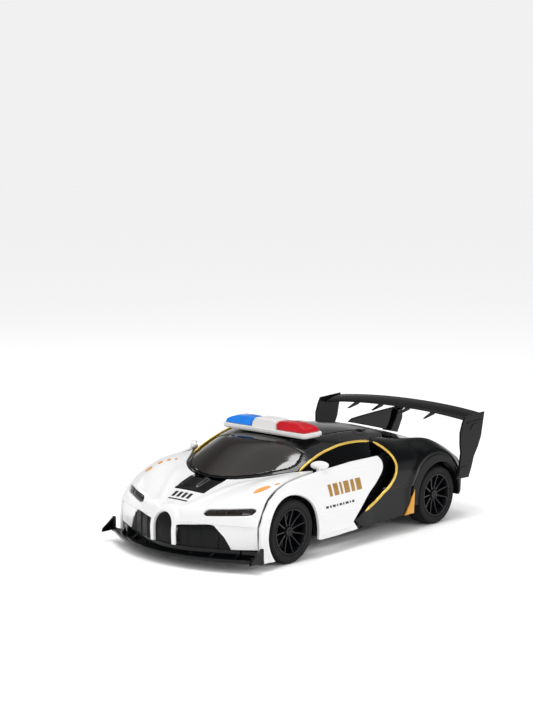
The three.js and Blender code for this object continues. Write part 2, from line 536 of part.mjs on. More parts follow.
// ---- arms and doors ------------------------------------------------------------------------------
function armLink() {
  const dx = DOOR_PIVOT.x - ARM_PIVOT.x, dy = DOOR_PIVOT.y - ARM_PIVOT.y;
  const long = Math.hypot(dx, dy), angle = THREE.MathUtils.radToDeg(Math.atan2(dy, dx));
  const plan = [...arc(0, 0, 3.6, 90, 270, 6), ...arc(long, 0, 3.6, -90, 90, 6)];
  const bar = cut(topPlate(shapeOf(plan), 19, 35.6), rodZ(0, 0, 2.05, 10, 40, 20), rodZ(long, 0, 2.05, 10, 40, 20),
    box(6, long - 6, -8, -1.6, 22, 33));
  return bar.rotate([0, 0, angle]).translate(ARM_PIVOT.x, ARM_PIVOT.y, 0);
}

const doorNet = [
  [[-23, 60.2, 10], [-23, 61, 24], [-23, 60.6, 40], [-23, 57, 55.4]],
  [[0, 62, 10], [0, 62, 24], [0, 61, 40], [0, 57.4, 55]],
  [[24, 64, 10], [24, 62.6, 24], [24, 61.6, 40], [24, 57.8, 54.6]],
  [[44, 64.6, 9], [44, 62.8, 22], [44, 62, 38], [44, 57.6, 53.4]],
  [[62, 64.2, 4], [62, 62.8, 20], [62, 62.4, 38], [62, 56.8, 51.8]],
  [[78, 63.6, 4], [78, 62.8, 20], [78, 62.4, 36], [78, 57.2, 49.2]],
  [[90, 62.8, 4], [90, 62.8, 16], [90, 62.2, 32], [90, 58, 42.6]],
  [[99, 62.2, 4], [99, 62, 14], [99, 61.4, 27], [99, 59.4, 33]],
];

function doorPanel() {
  const skin = panel(doorNet, 10, 5);
  const outline = [...splineShape(doorRear), [8.8, 11.5], [30, 11], [60, 11], [80, 5], [98.6, 5], [98.8, 16],
    [98.4, 27], [93.4, 35.2], [87.2, 41.8], [79.4, 47], [70, 50], [56, 51.8], [40, 53.2], [10, 54.6]];
  const shaped = skin.intersect(sidePlate(shapeOf(outline), 40, 80));
  const arch = rodY(FRONT_AXLE_X, 20, ARCH_R, 40, 80, 28);
  const below = box(46, 88.6, 40, 80, 0, 12);
  const mirror = lathe([[0, -6], [2.6, -5.4], [3.6, -1], [3.2, 3], [0, 4.6]], 8);
  const pod = mirror.scale([1.5, 1.15, 0.95]).translate(36, 59.6, 57);
  const stem = box(35, 39, 56.6, 60.4, 51, 56);
  return join(cut(shaped, arch, below), pod, stem.intersect(box(30, 42, 56.4, 61, 52.4, 57)));
}

function doorBracket() {
  const wall = box(42.4, 48.6, 44.2, 60, 14, 34);
  const ear = (z0, z1) => topPlate(shapeOf([[46, 46], [46, 41], ...arc(DOOR_PIVOT.x, DOOR_PIVOT.y, 3.6, 180, 360, 8),
    [54.7, 45.8]]), z0, z1);
  const pin = rodZ(DOOR_PIVOT.x, DOOR_PIVOT.y, 1.7, 15, 38, 14);
  const cover = cut(rodY(FRONT_AXLE_X, 20, 17, 44.4, 46.4, 20), box(40, 100, 40, 50, -10, 5));
  const axle = rodY(FRONT_AXLE_X, 20, 1.9, 46, 56, 14);
  const web = box(46, 60, 44.4, 46.4, 14, 34);
  return join(wall, ear(14.4, 18.6), ear(36, 39), box(46, 55, 44.1, 46.4, 14.4, 39), pin, cover, axle, web);
}

// ---- assembly -------------------------------------------------------------------------------------
const group = new THREE.Group();

function add(parent, name, body, material) {
  const mesh = new THREE.Mesh(surfaceOf(body), material);
  mesh.name = name;
  parent.add(mesh);
}

function addPair(parent, name, body, material) {
  add(parent, `${name}_left`, body, material);
  add(parent, `${name}_right`, mirrored(body), material);
}

const base = new THREE.Group(), roof = new THREE.Group(), nose = new THREE.Group(), sides = new THREE.Group();
group.add(base, roof, nose, sides);

add(base, "rear_shell", rearShell(), GLOSS_BLACK);
addPair(base, "arch_flare", archFlare(), MATTE_BLACK);
addPair(base, "side_scoop", sideScoop(), MATTE_BLACK);
add(base, "wing_blade", wingBlade(), GLOSS_BLACK);
addPair(base, "wing_endplate", wingEndplate(), MATTE_BLACK);
add(base, "wing_pylon", wingPylon(), GLOSS_BLACK);
add(base, "tail_panel", tailPanel(), MATTE_BLACK);
add(base, "floor_pan", floorPan(), MATTE_BLACK);
add(base, "hinge_frame", hingeFrame(), MATTE_BLACK);
add(base, "gearbox_case", gearboxCase(), MATTE_BLACK);
addPair(base, "drive_motor", driveMotor(), STEEL);
add(base, "lift_gearbox", liftGearbox(), MATTE_BLACK);
add(base, "battery_pack", batteryPack(), BLUE_LENS);
add(base, "battery_cover", batteryCover(), MATTE_BLACK);
add(base, "control_board", controlBoard(), BOARD_GREEN);
add(base, "power_switch", powerSwitch(), MATTE_BLACK);
add(base, "caster_rollers", caster(), MATTE_BLACK);
addPair(base, "rear_rim", rim(REAR_AXLE_X), MATTE_BLACK);
addPair(base, "rear_tyre", tyre(REAR_AXLE_X), TYRE);
addPair(base, "rear_axle", rearAxle(), STEEL);
addPair(base, "motor_pinion", motorPinion(), STEEL);

add(roof, "roof_panel", roofPanel(), GLOSS_BLACK);
add(roof, "windshield", windshield(), SMOKE);
add(roof, "light_bar_base", lightBarBase(), LAMP_WHITE);
add(roof, "light_lens_left", lightLens(1), RED_LENS);
add(roof, "light_lens_right", lightLens(-1), BLUE_LENS);
add(roof, "torso_core", torsoCore(), MATTE_BLACK);
add(roof, "chest_armour", chestArmour(), SILVER);
add(roof, "chest_crest", chestCrest(), GOLD);
add(roof, "waist_armour", waistArmour(), SILVER);
addPair(roof, "thigh_plate", thighPlate(), GOLD);
addPair(roof, "shin_armour", shinArmour(), SILVER);

add(nose, "hood_shell", hoodShell(), WHITE);
add(nose, "grille", grille(), MATTE_BLACK);
addPair(nose, "headlight", headlight(), GLOSS_BLACK);
add(nose, "splitter", splitter(), GLOSS_BLACK);
add(nose, "nose_frame", noseFrame(), MATTE_BLACK);
add(nose, "robot_head", robotHead(), GLOSS_BLACK);
add(nose, "vent_flap", ventFlap(), GLOSS_BLACK);
addPair(nose, "arm_link", armLink(), MATTE_BLACK);

addPair(sides, "door_panel", doorPanel(), WHITE);
addPair(sides, "door_bracket", doorBracket(), MATTE_BLACK);
addPair(sides, "front_rim", rim(FRONT_AXLE_X), MATTE_BLACK);
addPair(sides, "front_tyre", tyre(FRONT_AXLE_X), TYRE);

export default group;
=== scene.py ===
# %% [markdown]
# # A transforming robot car in Blender
# The toy stands as a sports car about 25 cm long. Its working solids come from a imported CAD
# frame, and this notebook builds the moulded shells, paint and rubber that the eye sees around
# them. Every new piece rides on the CAD body that carries it, so the car still turns into a robot.

# %% Load the frame
from math import atan2, cos, degrees, hypot, pi, radians, sin, sqrt

import bmesh
import bpy
import numpy as np
from mathutils import Matrix, Vector
from mathutils.bvhtree import BVHTree


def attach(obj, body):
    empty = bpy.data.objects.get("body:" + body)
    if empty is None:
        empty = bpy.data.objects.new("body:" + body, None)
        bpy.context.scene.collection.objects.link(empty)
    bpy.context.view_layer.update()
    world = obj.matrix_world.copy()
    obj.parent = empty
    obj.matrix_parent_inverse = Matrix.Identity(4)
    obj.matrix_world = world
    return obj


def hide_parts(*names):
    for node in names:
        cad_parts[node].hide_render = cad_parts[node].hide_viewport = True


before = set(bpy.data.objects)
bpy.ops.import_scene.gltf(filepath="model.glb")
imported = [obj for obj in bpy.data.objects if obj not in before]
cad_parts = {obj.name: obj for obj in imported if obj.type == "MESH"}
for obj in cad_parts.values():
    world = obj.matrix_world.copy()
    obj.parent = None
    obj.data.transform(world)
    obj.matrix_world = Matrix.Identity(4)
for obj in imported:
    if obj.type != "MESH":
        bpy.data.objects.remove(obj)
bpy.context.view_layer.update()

MM = 0.001          # lengths below are in millimetres, X forward, Y to the car's left, Z up


# %% [markdown]
# ## The camera
# The car is seen from its front left, a little above the roof line, through a long lens. A long
# lens keeps the wheels the same size, as a catalogue picture does. The lens is turned up a
# little rather than shifted, so the car sits in the lower half and other views stay centred.

# %% Camera
VIEW_AZIMUTH, VIEW_ELEVATION, VIEW_DISTANCE = radians(41.74), radians(11.78), 1123.7
VIEW_TARGET = Vector((5, 0, 30))
ABOVE_TARGET, LEFT_OF_TARGET = 87.3, 15.1

back = Vector((cos(VIEW_AZIMUTH) * cos(VIEW_ELEVATION), sin(VIEW_AZIMUTH) * cos(VIEW_ELEVATION), sin(VIEW_ELEVATION)))
side = Vector((0, 0, 1)).cross(back).normalized()
place = VIEW_TARGET + back * VIEW_DISTANCE
aim = VIEW_TARGET + back.cross(side) * ABOVE_TARGET - side * LEFT_OF_TARGET

camera = bpy.data.objects.new("camera", bpy.data.cameras.new("camera"))
camera.data.lens, camera.data.sensor_width = 85.7, 36
camera.data.clip_start, camera.data.clip_end = 0.05, 20
camera.matrix_world = Matrix.Translation(place * MM) @ (aim - place).to_track_quat("-Z", "Y").to_matrix().to_4x4()
bpy.context.collection.objects.link(camera)
bpy.context.scene.camera = camera


# %% [markdown]
# ## Studio
# White plastic and gloss black need opposite things: white needs soft shadow to show its curves,
# and black shows only what it reflects. A big soft light overhead and a long strip on each side
# give both: a gentle falloff on the white, and broad pale reflections on the black.

# %% Floor, world and lights
def soft_light(name, at, towards, size, power, colour=(1, 1, 1)):
    lamp = bpy.data.lights.new(name, "AREA")
    lamp.shape, lamp.size, lamp.size_y = "RECTANGLE", size[0] * MM, size[1] * MM
    lamp.energy, lamp.color = power, colour
    obj = bpy.data.objects.new(name, lamp)
    obj.location = Vector(at) * MM
    obj.rotation_euler = (Vector(towards) - Vector(at)).to_track_quat("-Z", "Y").to_euler()
    bpy.context.collection.objects.link(obj)


soft_light("overhead", (0, 60, 900), (0, 0, 0), (480, 150), 2.8)
soft_light("front_strip", (850, 250, 520), (60, 0, 40), (60, 320), 0.9)
soft_light("side_strip", (-150, 900, 420), (0, 0, 30), (460, 60), 1.2)
soft_light("far_side", (100, -900, 500), (0, 0, 30), (500, 60), 0.8)

# The room lights everything an even white. What gloss reflects is white at the horizon, dim above
# it and bright again overhead, like a studio with a dark ceiling round its soft box.
WHITE_ROOM = (0.88, 0.88, 0.88, 1)
ROOM = [(0.0, 0.7), (0.52, 0.7), (0.6, 0.2), (0.8, 0.16), (0.93, 0.9)]
world = bpy.data.worlds.new("studio")
world.use_nodes = True
room = world.node_tree
direction = room.nodes.new("ShaderNodeTexCoord")
height = room.nodes.new("ShaderNodeSeparateXYZ")
share = room.nodes.new("ShaderNodeMapRange")
share.inputs["From Min"].default_value = -1
glow = room.nodes.new("ShaderNodeValToRGB")
for extra in ROOM[2:]:
    glow.color_ramp.elements.new(extra[0])
for element, (at, value) in zip(glow.color_ramp.elements, ROOM):
    element.position, element.color = at, (value, value, value, 1)
room.links.new(direction.outputs["Generated"], height.inputs["Vector"])
room.links.new(height.outputs["Z"], share.inputs["Value"])
room.links.new(share.outputs["Result"], glow.inputs["Fac"])
seen_by = room.nodes.new("ShaderNodeLightPath")
choice = room.nodes.new("ShaderNodeMixRGB")
choice.inputs["Color1"].default_value = WHITE_ROOM
room.links.new(seen_by.outputs["Is Glossy Ray"], choice.inputs["Fac"])
room.links.new(glow.outputs["Color"], choice.inputs["Color2"])
room.links.new(choice.outputs["Color"], room.nodes["Background"].inputs["Color"])
bpy.context.scene.world = world
bpy.context.scene.view_settings.view_transform = "Standard"


# %% [markdown]
# ## Finishes
# A material starts from what the real one is. `add` places one node with its settings and links;
# `paint` turns the hex value on a colour card into the linear light that the renderer uses.
# Nearly all of the car is ABS, moulded in polished or spark-eroded tools: the polish of the tool
# is the gloss of the part.

# %% Helpers for materials
def paint(hex_value):
    channels = [int(hex_value[i:i + 2], 16) / 255 for i in (1, 3, 5)]
    return (*[c / 12.92 if c <= 0.04045 else ((c + 0.055) / 1.055) ** 2.4 for c in channels], 1)


def add(tree, kind, links=(), inputs=(), **settings):
    new = tree.nodes.new(kind)
    for key, value in settings.items():
        setattr(new, key, value)
    for key, value in dict(inputs).items():
        new.inputs[key].default_value = value
    for key, source in dict(links).items():
        tree.links.new(source, new.inputs[key])
    return new


def finish(name, hex_value, roughness, ior=1.5, metallic=0.0, coat=0.0, shade=0.06, patch_mm=25.0,
           grain_mm=0.6, grain_depth=0.0, wear=0.05, transmission=0.0, mirror=0.5):
    """A moulded or painted surface: colour that drifts a little, uneven gloss and a fine grain."""
    material = bpy.data.materials.new(name)
    material.use_nodes = True
    tree = material.node_tree
    shader = tree.nodes["Principled BSDF"]
    shader.inputs["IOR"].default_value = ior
    shader.inputs["Specular IOR Level"].default_value = mirror
    shader.inputs["Metallic"].default_value = metallic
    shader.inputs["Coat Weight"].default_value = coat
    shader.inputs["Coat Roughness"].default_value = 0.06
    shader.inputs["Transmission Weight"].default_value = transmission
    place = add(tree, "ShaderNodeTexCoord").outputs["Object"]
    patches = add(tree, "ShaderNodeTexNoise", {"Vector": place}, {"Scale": 1 / (patch_mm * MM), "Detail": 3.0})
    base, light = paint(hex_value), 1 + shade
    ramp = add(tree, "ShaderNodeValToRGB", {"Fac": patches.outputs["Fac"]})
    ramp.color_ramp.elements[0].position, ramp.color_ramp.elements[1].position = 0.3, 0.7
    ramp.color_ramp.elements[0].color = (*[c * (1 - shade) for c in base[:3]], 1)
    ramp.color_ramp.elements[1].color = (*[min(1, c * light) for c in base[:3]], 1)
    tree.links.new(ramp.outputs["Color"], shader.inputs["Base Color"])
    rub = add(tree, "ShaderNodeMapRange", {"Value": patches.outputs["Fac"]},
              {"From Min": 0.3, "From Max": 0.7, "To Min": roughness - wear / 2, "To Max": roughness + wear})
    tree.links.new(rub.outputs["Result"], shader.inputs["Roughness"])
    if grain_depth:
        grain = add(tree, "ShaderNodeTexNoise", {"Vector": place}, {"Scale": 1 / (grain_mm * MM), "Detail": 2.0})
        bump = add(tree, "ShaderNodeBump", {"Height": grain.outputs["Fac"]},
                   {"Strength": 0.5, "Distance": grain_depth * MM})
        tree.links.new(bump.outputs["Normal"], shader.inputs["Normal"])
    return material


# %% [markdown]
# ## The palette
# Each line names what the surface is made of, its colour and how rough it is. The black plastics
# differ only in the polish of their tools. Paints are part metal, inks are flat, lenses are glossy.

# %% Materials
# Polished white ABS: high-gloss tool, so a clear highlight over a soft white body.
WHITE = finish("white_abs_polished", "#E3E3E3", 0.28, ior=1.54, coat=0.25, shade=0.006, patch_mm=60, wear=0.02)
# Polished blue-black ABS: nearly a mirror, dark with a cold tint.
BLACK = finish("black_abs_polished", "#060709", 0.1, ior=1.5, coat=0.12, shade=0.15, patch_mm=40, wear=0.03, mirror=0.17)
# Black ABS from a spark-eroded tool. The real grain is 0.1 mm; drawn at 0.5 mm so that it shows.
SATIN = finish("black_abs_textured", "#0D0E10", 0.34, shade=0.12, grain_mm=0.5, grain_depth=0.06, wear=0.1, mirror=0.16)
# Frame parts are the same plastic with less polish.
FRAME = finish("black_abs_structural", "#0F1012", 0.44, shade=0.15, grain_mm=0.6, grain_depth=0.08, wear=0.12, mirror=0.2)
RIM = finish("black_abs_rim", "#0E0F12", 0.24, shade=0.1, grain_mm=0.8, grain_depth=0.04, mirror=0.25)
# Moulded rubber: matt, a little grey where it is handled.
TYRE = finish("tyre_rubber", "#161618", 0.66, ior=1.5, shade=0.22, patch_mm=9, grain_mm=0.4, grain_depth=0.08, wear=0.14, mirror=0.25)
# Gold and silver are sprayed metallic paint, so they are metal with a soft coat and fine flake.
GOLD = finish("gold_paint", "#D79A3C", 0.36, metallic=0.75, coat=0.3, shade=0.1, patch_mm=3, grain_mm=0.35, grain_depth=0.03)
GOLD_LINE = finish("gold_line_paint", "#EBC456", 0.3, metallic=0.55, coat=0.4, shade=0.08, patch_mm=3)
SILVER = finish("silver_paint", "#C9CBCF", 0.3, metallic=0.85, coat=0.2, shade=0.08, patch_mm=3, grain_mm=0.35, grain_depth=0.03)
STEEL = finish("drawn_steel", "#A9ABAF", 0.28, metallic=1.0, shade=0.08, patch_mm=4, grain_mm=0.4, grain_depth=0.03)
# Amber ink in the hood slots and gold ink on the doors are pad-printed, flat and satin.
AMBER_INK = finish("amber_ink", "#D9913B", 0.4, shade=0.05, patch_mm=2)
GOLD_INK = finish("gold_ink", "#A9813F", 0.38, metallic=0.35, shade=0.12, patch_mm=1.5)
BLACK_INK = finish("black_ink", "#161616", 0.45, shade=0.1, patch_mm=2)
# Smoked polycarbonate over a dark cabin looks brown-black and very glossy.
SMOKE = finish("smoked_polycarbonate", "#1E1916", 0.07, ior=1.58, coat=0.1, shade=0.18, patch_mm=40, mirror=0.36)
LAMP_WHITE = finish("off_white_abs", "#DEDCDA", 0.3, ior=1.54, coat=0.15, shade=0.02, grain_mm=5, grain_depth=0.02)
BLUE = finish("blue_styrene", "#1E80E6", 0.1, ior=1.5, coat=0.2, shade=0.1, patch_mm=8, transmission=0.12)
RED = finish("red_styrene", "#C50A1C", 0.1, ior=1.5, coat=0.2, shade=0.1, patch_mm=8, transmission=0.12)
BOARD = finish("solder_mask", "#1F6B3C", 0.35, shade=0.2, patch_mm=2, grain_mm=1.2, grain_depth=0.05)
WRAP = finish("battery_wrap", "#23262B", 0.25, shade=0.08, patch_mm=6)
STUDIO_FLOOR = finish("floor_paper", "#FFFFFF", 0.9, shade=0.0, patch_mm=300, mirror=0.0)
print("finishes:", len(bpy.data.materials))


# %% [markdown]
# The floor is a wide sheet of white paper.

# %% Floor
bpy.ops.mesh.primitive_plane_add(size=12)
floor = bpy.context.object
floor.name = "floor"
floor.data.materials.append(STUDIO_FLOOR)


# %% [markdown]
# ## Curved panels
# A car shell is one smooth skin cut into panels. Each skin here is a net of a few points: rows
# across the car, joined by smooth curves both ways. `create_grid` makes the faces and the net
# moves them into place. Openings are then cut with `trim`, which splits the edges that cross a
# line and drops what lies outside, so the skin stays smooth right up to the cut.

# %% Helpers for skins
def along(points, t):
    """Points on a smooth curve through the given ones, evenly shared between the stretches."""
    p = np.asarray(points, dtype=float)
    p = np.concatenate([[2 * p[0] - p[1]], p, [2 * p[-1] - p[-2]]])
    count = len(p) - 3
    place = np.clip(np.atleast_1d(t) * count, 0, count - 1e-9)
    first = place.astype(int)
    s = (place - first)[:, None]
    a, b, c, d = (p[first + k] for k in range(4))
    gap = [np.maximum(np.linalg.norm(q - r, axis=-1, keepdims=True) ** 0.5, 1e-3) for q, r in ((b, a), (c, b), (d, c))]
    lead = ((b - a) / gap[0] - (c - a) / (gap[0] + gap[1]) + (c - b) / gap[1]) * gap[1]
    tail = ((c - b) / gap[1] - (d - b) / (gap[1] + gap[2]) + (d - c) / gap[2]) * gap[1]
    return b + lead * s + (3 * (c - b) - 2 * lead - tail) * s ** 2 + (2 * (b - c) + lead + tail) * s ** 3


def full(row):
    """A row given from the centre line outwards, mirrored to run from right to left."""
    return [(x, -y, z) for x, y, z in row[:0:-1]] + list(row)


def skin(net, rows, columns):
    """A grid of faces laid on a net. Row r of the grid runs along the net's rows."""
    bm = bmesh.new()
    bmesh.ops.create_grid(bm, x_segments=columns, y_segments=rows, size=0.5)
    u = np.array([v.co.y + 0.5 for v in bm.verts])
    w = np.array([v.co.x + 0.5 for v in bm.verts])
    across = np.linspace(0, 1, columns + 1)
    lines = np.array([along(row, across) for row in net])
    steps = np.linspace(0, 1, rows + 1)
    table = np.array([along(lines[:, k], steps) for k in range(columns + 1)])
    points = table[np.rint(w * columns).astype(int), np.rint(u * rows).astype(int)]
    for vert, point in zip(bm.verts, points):
        vert.co = point
    face_out(bm)
    return bm


def face_out(bm):
    """Turns an open skin so that it faces away from the car's middle line."""
    bm.normal_update()
    score = sum(f.normal.dot(f.calc_center_median() - Vector((f.calc_center_median().x, 0, 20))) for f in bm.faces)
    if score < 0:
        bmesh.ops.reverse_faces(bm, faces=bm.faces)
    bm.normal_update()


def shift(bm, rule):
    """Moves each point along its normal by rule(points), in mm."""
    bm.normal_update()
    points = np.array([v.co for v in bm.verts])
    for vert, offset in zip(bm.verts, rule(points)):
        vert.co += vert.normal * float(offset)


def trim(bm, keep):
    """Cuts a skin where keep(points) crosses zero and drops the part where it is negative."""
    value = dict(zip(bm.verts, keep(np.array([v.co for v in bm.verts]))))
    crossing = [e for e in bm.edges if value[e.verts[0]] * value[e.verts[1]] < 0]
    fresh = []
    for edge in crossing:
        a, b = edge.verts
        share = value[a] / (value[a] - value[b])
        _, vert = bmesh.utils.edge_split(edge, a, min(max(share, 0.02), 0.98))
        value[vert] = 0
        fresh.append(vert)
    bmesh.ops.connect_verts(bm, verts=fresh)
    doomed = [f for f in bm.faces if sum(value[v] for v in f.verts) < 0]
    bmesh.ops.delete(bm, geom=doomed, context="FACES")


def polygon(points, a, b):
    """How far (a, b) lies outside a polygon, in mm; negative inside."""
    points = np.array(points, dtype=float)
    inside = np.zeros(len(a), dtype=bool)
    nearest = np.full(len(a), 1e9)
    for (ax, ay), (bx, by) in zip(points, np.roll(points, -1, axis=0)):
        ex, ey = bx - ax, by - ay
        t = np.clip(((a - ax) * ex + (b - ay) * ey) / (ex * ex + ey * ey), 0, 1)
        nearest = np.minimum(nearest, np.hypot(a - ax - t * ex, b - ay - t * ey))
        rises = (ay > b) != (by > b)
        slope = np.where(rises, (bx - ax) * (b - ay) / np.where(rises, by - ay, 1) + ax, 0)
        inside ^= rises & (a < slope)
    return np.where(inside, -nearest, nearest)


def smooth(value, low, high):
    t = np.clip((value - low) / (high - low), 0, 1)
    return t * t * (3 - 2 * t)


# %% [markdown]
# ## From skin to piece
# `piece` turns a bmesh into an object in metres, with its finish, the body it rides on and the
# CAD nodes it stands for. `thick` gives a skin its wall and rounds the rim, which is what catches
# the light along a panel gap.

# %% Helpers for pieces
def piece(name, bm, material, body, replaces=(), sharp=38, scale=MM):
    bmesh.ops.scale(bm, vec=(scale, scale, scale), verts=bm.verts)
    mesh = bpy.data.meshes.new(name)
    bm.to_mesh(mesh)
    bm.free()
    mesh.materials.append(material)
    mesh.shade_smooth()
    mesh.set_sharp_from_angle(angle=radians(sharp))
    obj = bpy.data.objects.new(name, mesh)
    bpy.context.collection.objects.link(obj)
    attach(obj, body)
    if replaces:
        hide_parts(*replaces)
    return obj


def thick(obj, wall, edge=0.22):
    solid = obj.modifiers.new("wall", "SOLIDIFY")
    solid.thickness, solid.offset, solid.use_even_offset = wall * MM, -1, False
    if edge:
        soften(obj, edge)
    return obj


def soften(obj, edge, segments=2, angle=50):
    bevel = obj.modifiers.new("rounded_edges", "BEVEL")
    bevel.width, bevel.segments, bevel.limit_method = edge * MM, segments, "ANGLE"
    bevel.angle_limit, bevel.harden_normals = radians(angle), False
    return obj


def mirrored(bm):
    other = bm.copy()
    bmesh.ops.scale(other, vec=(1, -1, 1), verts=other.verts)
    bmesh.ops.reverse_faces(other, faces=other.faces)
    return other


def merged(*parts):
    """One bmesh that holds them all."""
    whole = bmesh.new()
    for part in parts:
        mesh = bpy.data.meshes.new("part")
        part.to_mesh(mesh)
        part.free()
        whole.from_mesh(mesh)
        bpy.data.meshes.remove(mesh)
    return whole


def plate(points, low, high, axis):
    """A flat outline pushed through from low to high along an axis: x, y or z."""
    frames = {"x": lambda a, b: (low, a, b), "y": lambda a, b: (a, low, b), "z": lambda a, b: (a, b, low)}
    bm = bmesh.new()
    face = bm.faces.new([bm.verts.new(frames[axis](a, b)) for a, b in points])
    push = {"x": Vector((1, 0, 0)), "y": Vector((0, 1, 0)), "z": Vector((0, 0, 1))}[axis] * (high - low)
    top = bmesh.ops.extrude_face_region(bm, geom=[face])
    moved = [v for v in top["geom"] if isinstance(v, bmesh.types.BMVert)]
    bmesh.ops.translate(bm, vec=push, verts=moved)
    bmesh.ops.recalc_face_normals(bm, faces=bm.faces)
    return bm


def block(x, y, z):
    """A box from its low and high x, y and z."""
    bm = bmesh.new()
    bmesh.ops.create_cube(bm, size=1)
    size = [b - a for a, b in (x, y, z)]
    bmesh.ops.scale(bm, vec=size, verts=bm.verts)
    bmesh.ops.translate(bm, vec=[(a + b) / 2 for a, b in (x, y, z)], verts=bm.verts)
    return bm


def rod(start, end, radius, sides=32):
    a, b = Vector(start), Vector(end)
    bm = bmesh.new()
    bmesh.ops.create_cone(bm, cap_ends=True, segments=sides, radius1=radius, radius2=radius, depth=(b - a).length)
    turn = (b - a).to_track_quat("Z", "Y").to_matrix().to_4x4()
    bmesh.ops.transform(bm, matrix=Matrix.Translation((a + b) / 2) @ turn, verts=bm.verts)
    return bm


def strip(points, width, height, steps=80, ends=0.35):
    """A bead with a rounded section along a smooth line of points, thinner at its ends."""
    line = [Vector(p) for p in along(points, np.linspace(0, 1, steps + 1))]
    bm = bmesh.new()
    rings = []
    for i, centre in enumerate(line):
        ahead = (line[min(i + 1, steps)] - line[max(i - 1, 0)]).normalized()
        out = Vector((0, centre.y, centre.z - 20)).normalized()
        across = ahead.cross(out).normalized()
        taper = min(1, ends + (1 - ends) * min(i, steps - i) / 3)
        ring = bmesh.ops.create_circle(bm, segments=10, radius=1)["verts"]
        for vert in ring:
            vert.co = centre + across * vert.co.x * width / 2 * taper + across.cross(ahead) * vert.co.y * height / 2 * taper
        rings.append([e for e in bm.edges if e.verts[0] in ring and e.verts[1] in ring])
    for a, b in zip(rings, rings[1:]):
        bmesh.ops.bridge_loops(bm, edges=a + b)
    bmesh.ops.holes_fill(bm, edges=rings[0] + rings[-1], sides=0)
    bmesh.ops.recalc_face_normals(bm, faces=bm.faces)
    return bm


def lay_on(bm, host, axis, lift=0.06):
    """Drops a flat graphic onto a host skin along an axis and lifts it by the ink's thickness."""
    for vert in bm.verts:
        start = vert.co.copy()
        start[axis] = 200 if start[axis] >= 0 else -200
        way = Vector((0, 0, 0))
        way[axis] = -1 if start[axis] > 0 else 1
        point, normal, *_ = host.ray_cast(start, way)
        if point is not None:
            vert.co = point - way * lift
    return bm


# %% [markdown]
# ## The nose
# The white hood and nose are one moulding. It is one net from the foot of the windshield, over
# the hood and down the face of the bumper. The arch of the grille stands proud of it, a soft
# crease runs back from each side of the arch, and the bumper steps in below the lamps.

# %% Nose skin
NOSE_NET = [
    [(81.6, 0, 46.9), (77.6, 18, 47.7), (67, 34, 49.9), (53, 44.5, 52), (42, 53, 52.6)],
    [(96, 0, 42.4), (93, 18, 43.3), (85, 34, 46.8), (76, 46, 50.2), (68, 55, 50.6)],
    [(108, 0, 37.6), (105, 18, 38.5), (99, 34, 41.6), (93, 46, 43.6), (86.5, 56, 43.6)],
    [(117, 0, 33.4), (113.6, 18, 34), (108, 34, 35.4), (101.5, 46, 36.8), (94.6, 58.3, 36)],
    [(121, 0, 24), (118, 18, 24), (112, 34, 25.2), (106, 46, 25.6), (100.3, 59.3, 26)],
    [(121, 0, 12.6), (118.4, 18, 12.6), (112.6, 34, 12.6), (107, 46, 12.6), (100.4, 60, 13.4)],
]
VENT = [(60, -14.2), (84, -14.2), (98.6, -13), (98.6, 13), (84, 14.2), (60, 14.2)]
INTAKE = [(11, 5), (47, 5), (43.5, 14), (40, 20), (34, 26.2), (31, 27), (11, 25)]
LAMP = [(26.2, 33), (26.8, 35), (28.6, 36), (52.5, 37.8), (55, 37.4), (55.7, 35.8), (54.4, 34), (51.6, 33.4), (28.6, 31.8)]


def arch(points, half_width=8.0):
    """Distance outside the grille's arch, in the front view."""
    y, z = np.abs(points[:, 1]), points[:, 2]
    return np.where(z > 24, np.hypot(y, z - 24), y) - half_width


def in_front(points, outline, grow=0.0):
    """Distance outside an outline given as (|y|, z), for what faces forward."""
    distance = polygon(outline, np.abs(points[:, 1]), points[:, 2]) - grow
    return np.where(points[:, 0] > 86, distance, 50)


def vent(points, grow=0.0):
    return polygon(VENT, points[:, 0], points[:, 1]) - grow


def nose_relief(points):
    x, y, z = points[:, 0], np.abs(points[:, 1]), points[:, 2]
    rim = 1.3 * (1 - smooth(arch(points), 2.6, 4.4)) * (x > 100)
    crease_y = 9 + (118 - x) * 0.55
    crease = 0.55 * np.exp(-((y - crease_y) / 3.2) ** 2) * smooth(x, 70, 84) * smooth(118 - x, 0, 6)
    bumper = -0.9 * smooth(27.4 - z, 0, 0.9) * smooth(arch(points), 3.8, 5)
    brow = 0.35 * (1 - smooth(in_front(points, LAMP), 0.6, 2.6))
    return rim + crease + bumper + brow


def nose_skin(rows=150, columns=190):
    bm = skin([full(row) for row in NOSE_NET], rows, columns)
    shift(bm, nose_relief)
    return bm


hood_bm = nose_skin()
nose_tree = BVHTree.FromBMesh(hood_bm)
for opening in (lambda p: vent(p), lambda p: np.where(p[:, 0] > 90, arch(p), 50),
                lambda p: in_front(p, INTAKE), lambda p: in_front(p, LAMP)):
    trim(hood_bm, opening)
hood = thick(piece("hood_and_nose", hood_bm, WHITE, "nose", ["hood_shell"]), 1.9)
print("hood faces:", len(hood.data.polygons))


# %% [markdown]
# The grille is a plain arch of fine woven mesh, pressed in from behind, so it sits a little
# deeper than the white rim. Crossing ridges raised along the skin make the mesh a real surface.

# %% Grille and side intakes
def recessed(keep, relief, rows=150, columns=190):
    bm = skin([full(row) for row in NOSE_NET[1:]], rows, columns)
    trim(bm, keep)
    shift(bm, relief)
    return bm


def mesh_relief(points, depth=-1.0, pitch=1.5, height=0.28):
    y, z = points[:, 1], points[:, 2]
    weave = np.maximum(np.abs(np.sin(pi * (y + z) / pitch)), np.abs(np.sin(pi * (y - z) / pitch)))
    return depth + height * weave


grille = recessed(lambda p: np.where(p[:, 0] > 100, -arch(p, 7.9), -9), mesh_relief, 300, 380)
thick(piece("grille_mesh", grille, SATIN, "nose", ["grille"]), 0.9, edge=0)


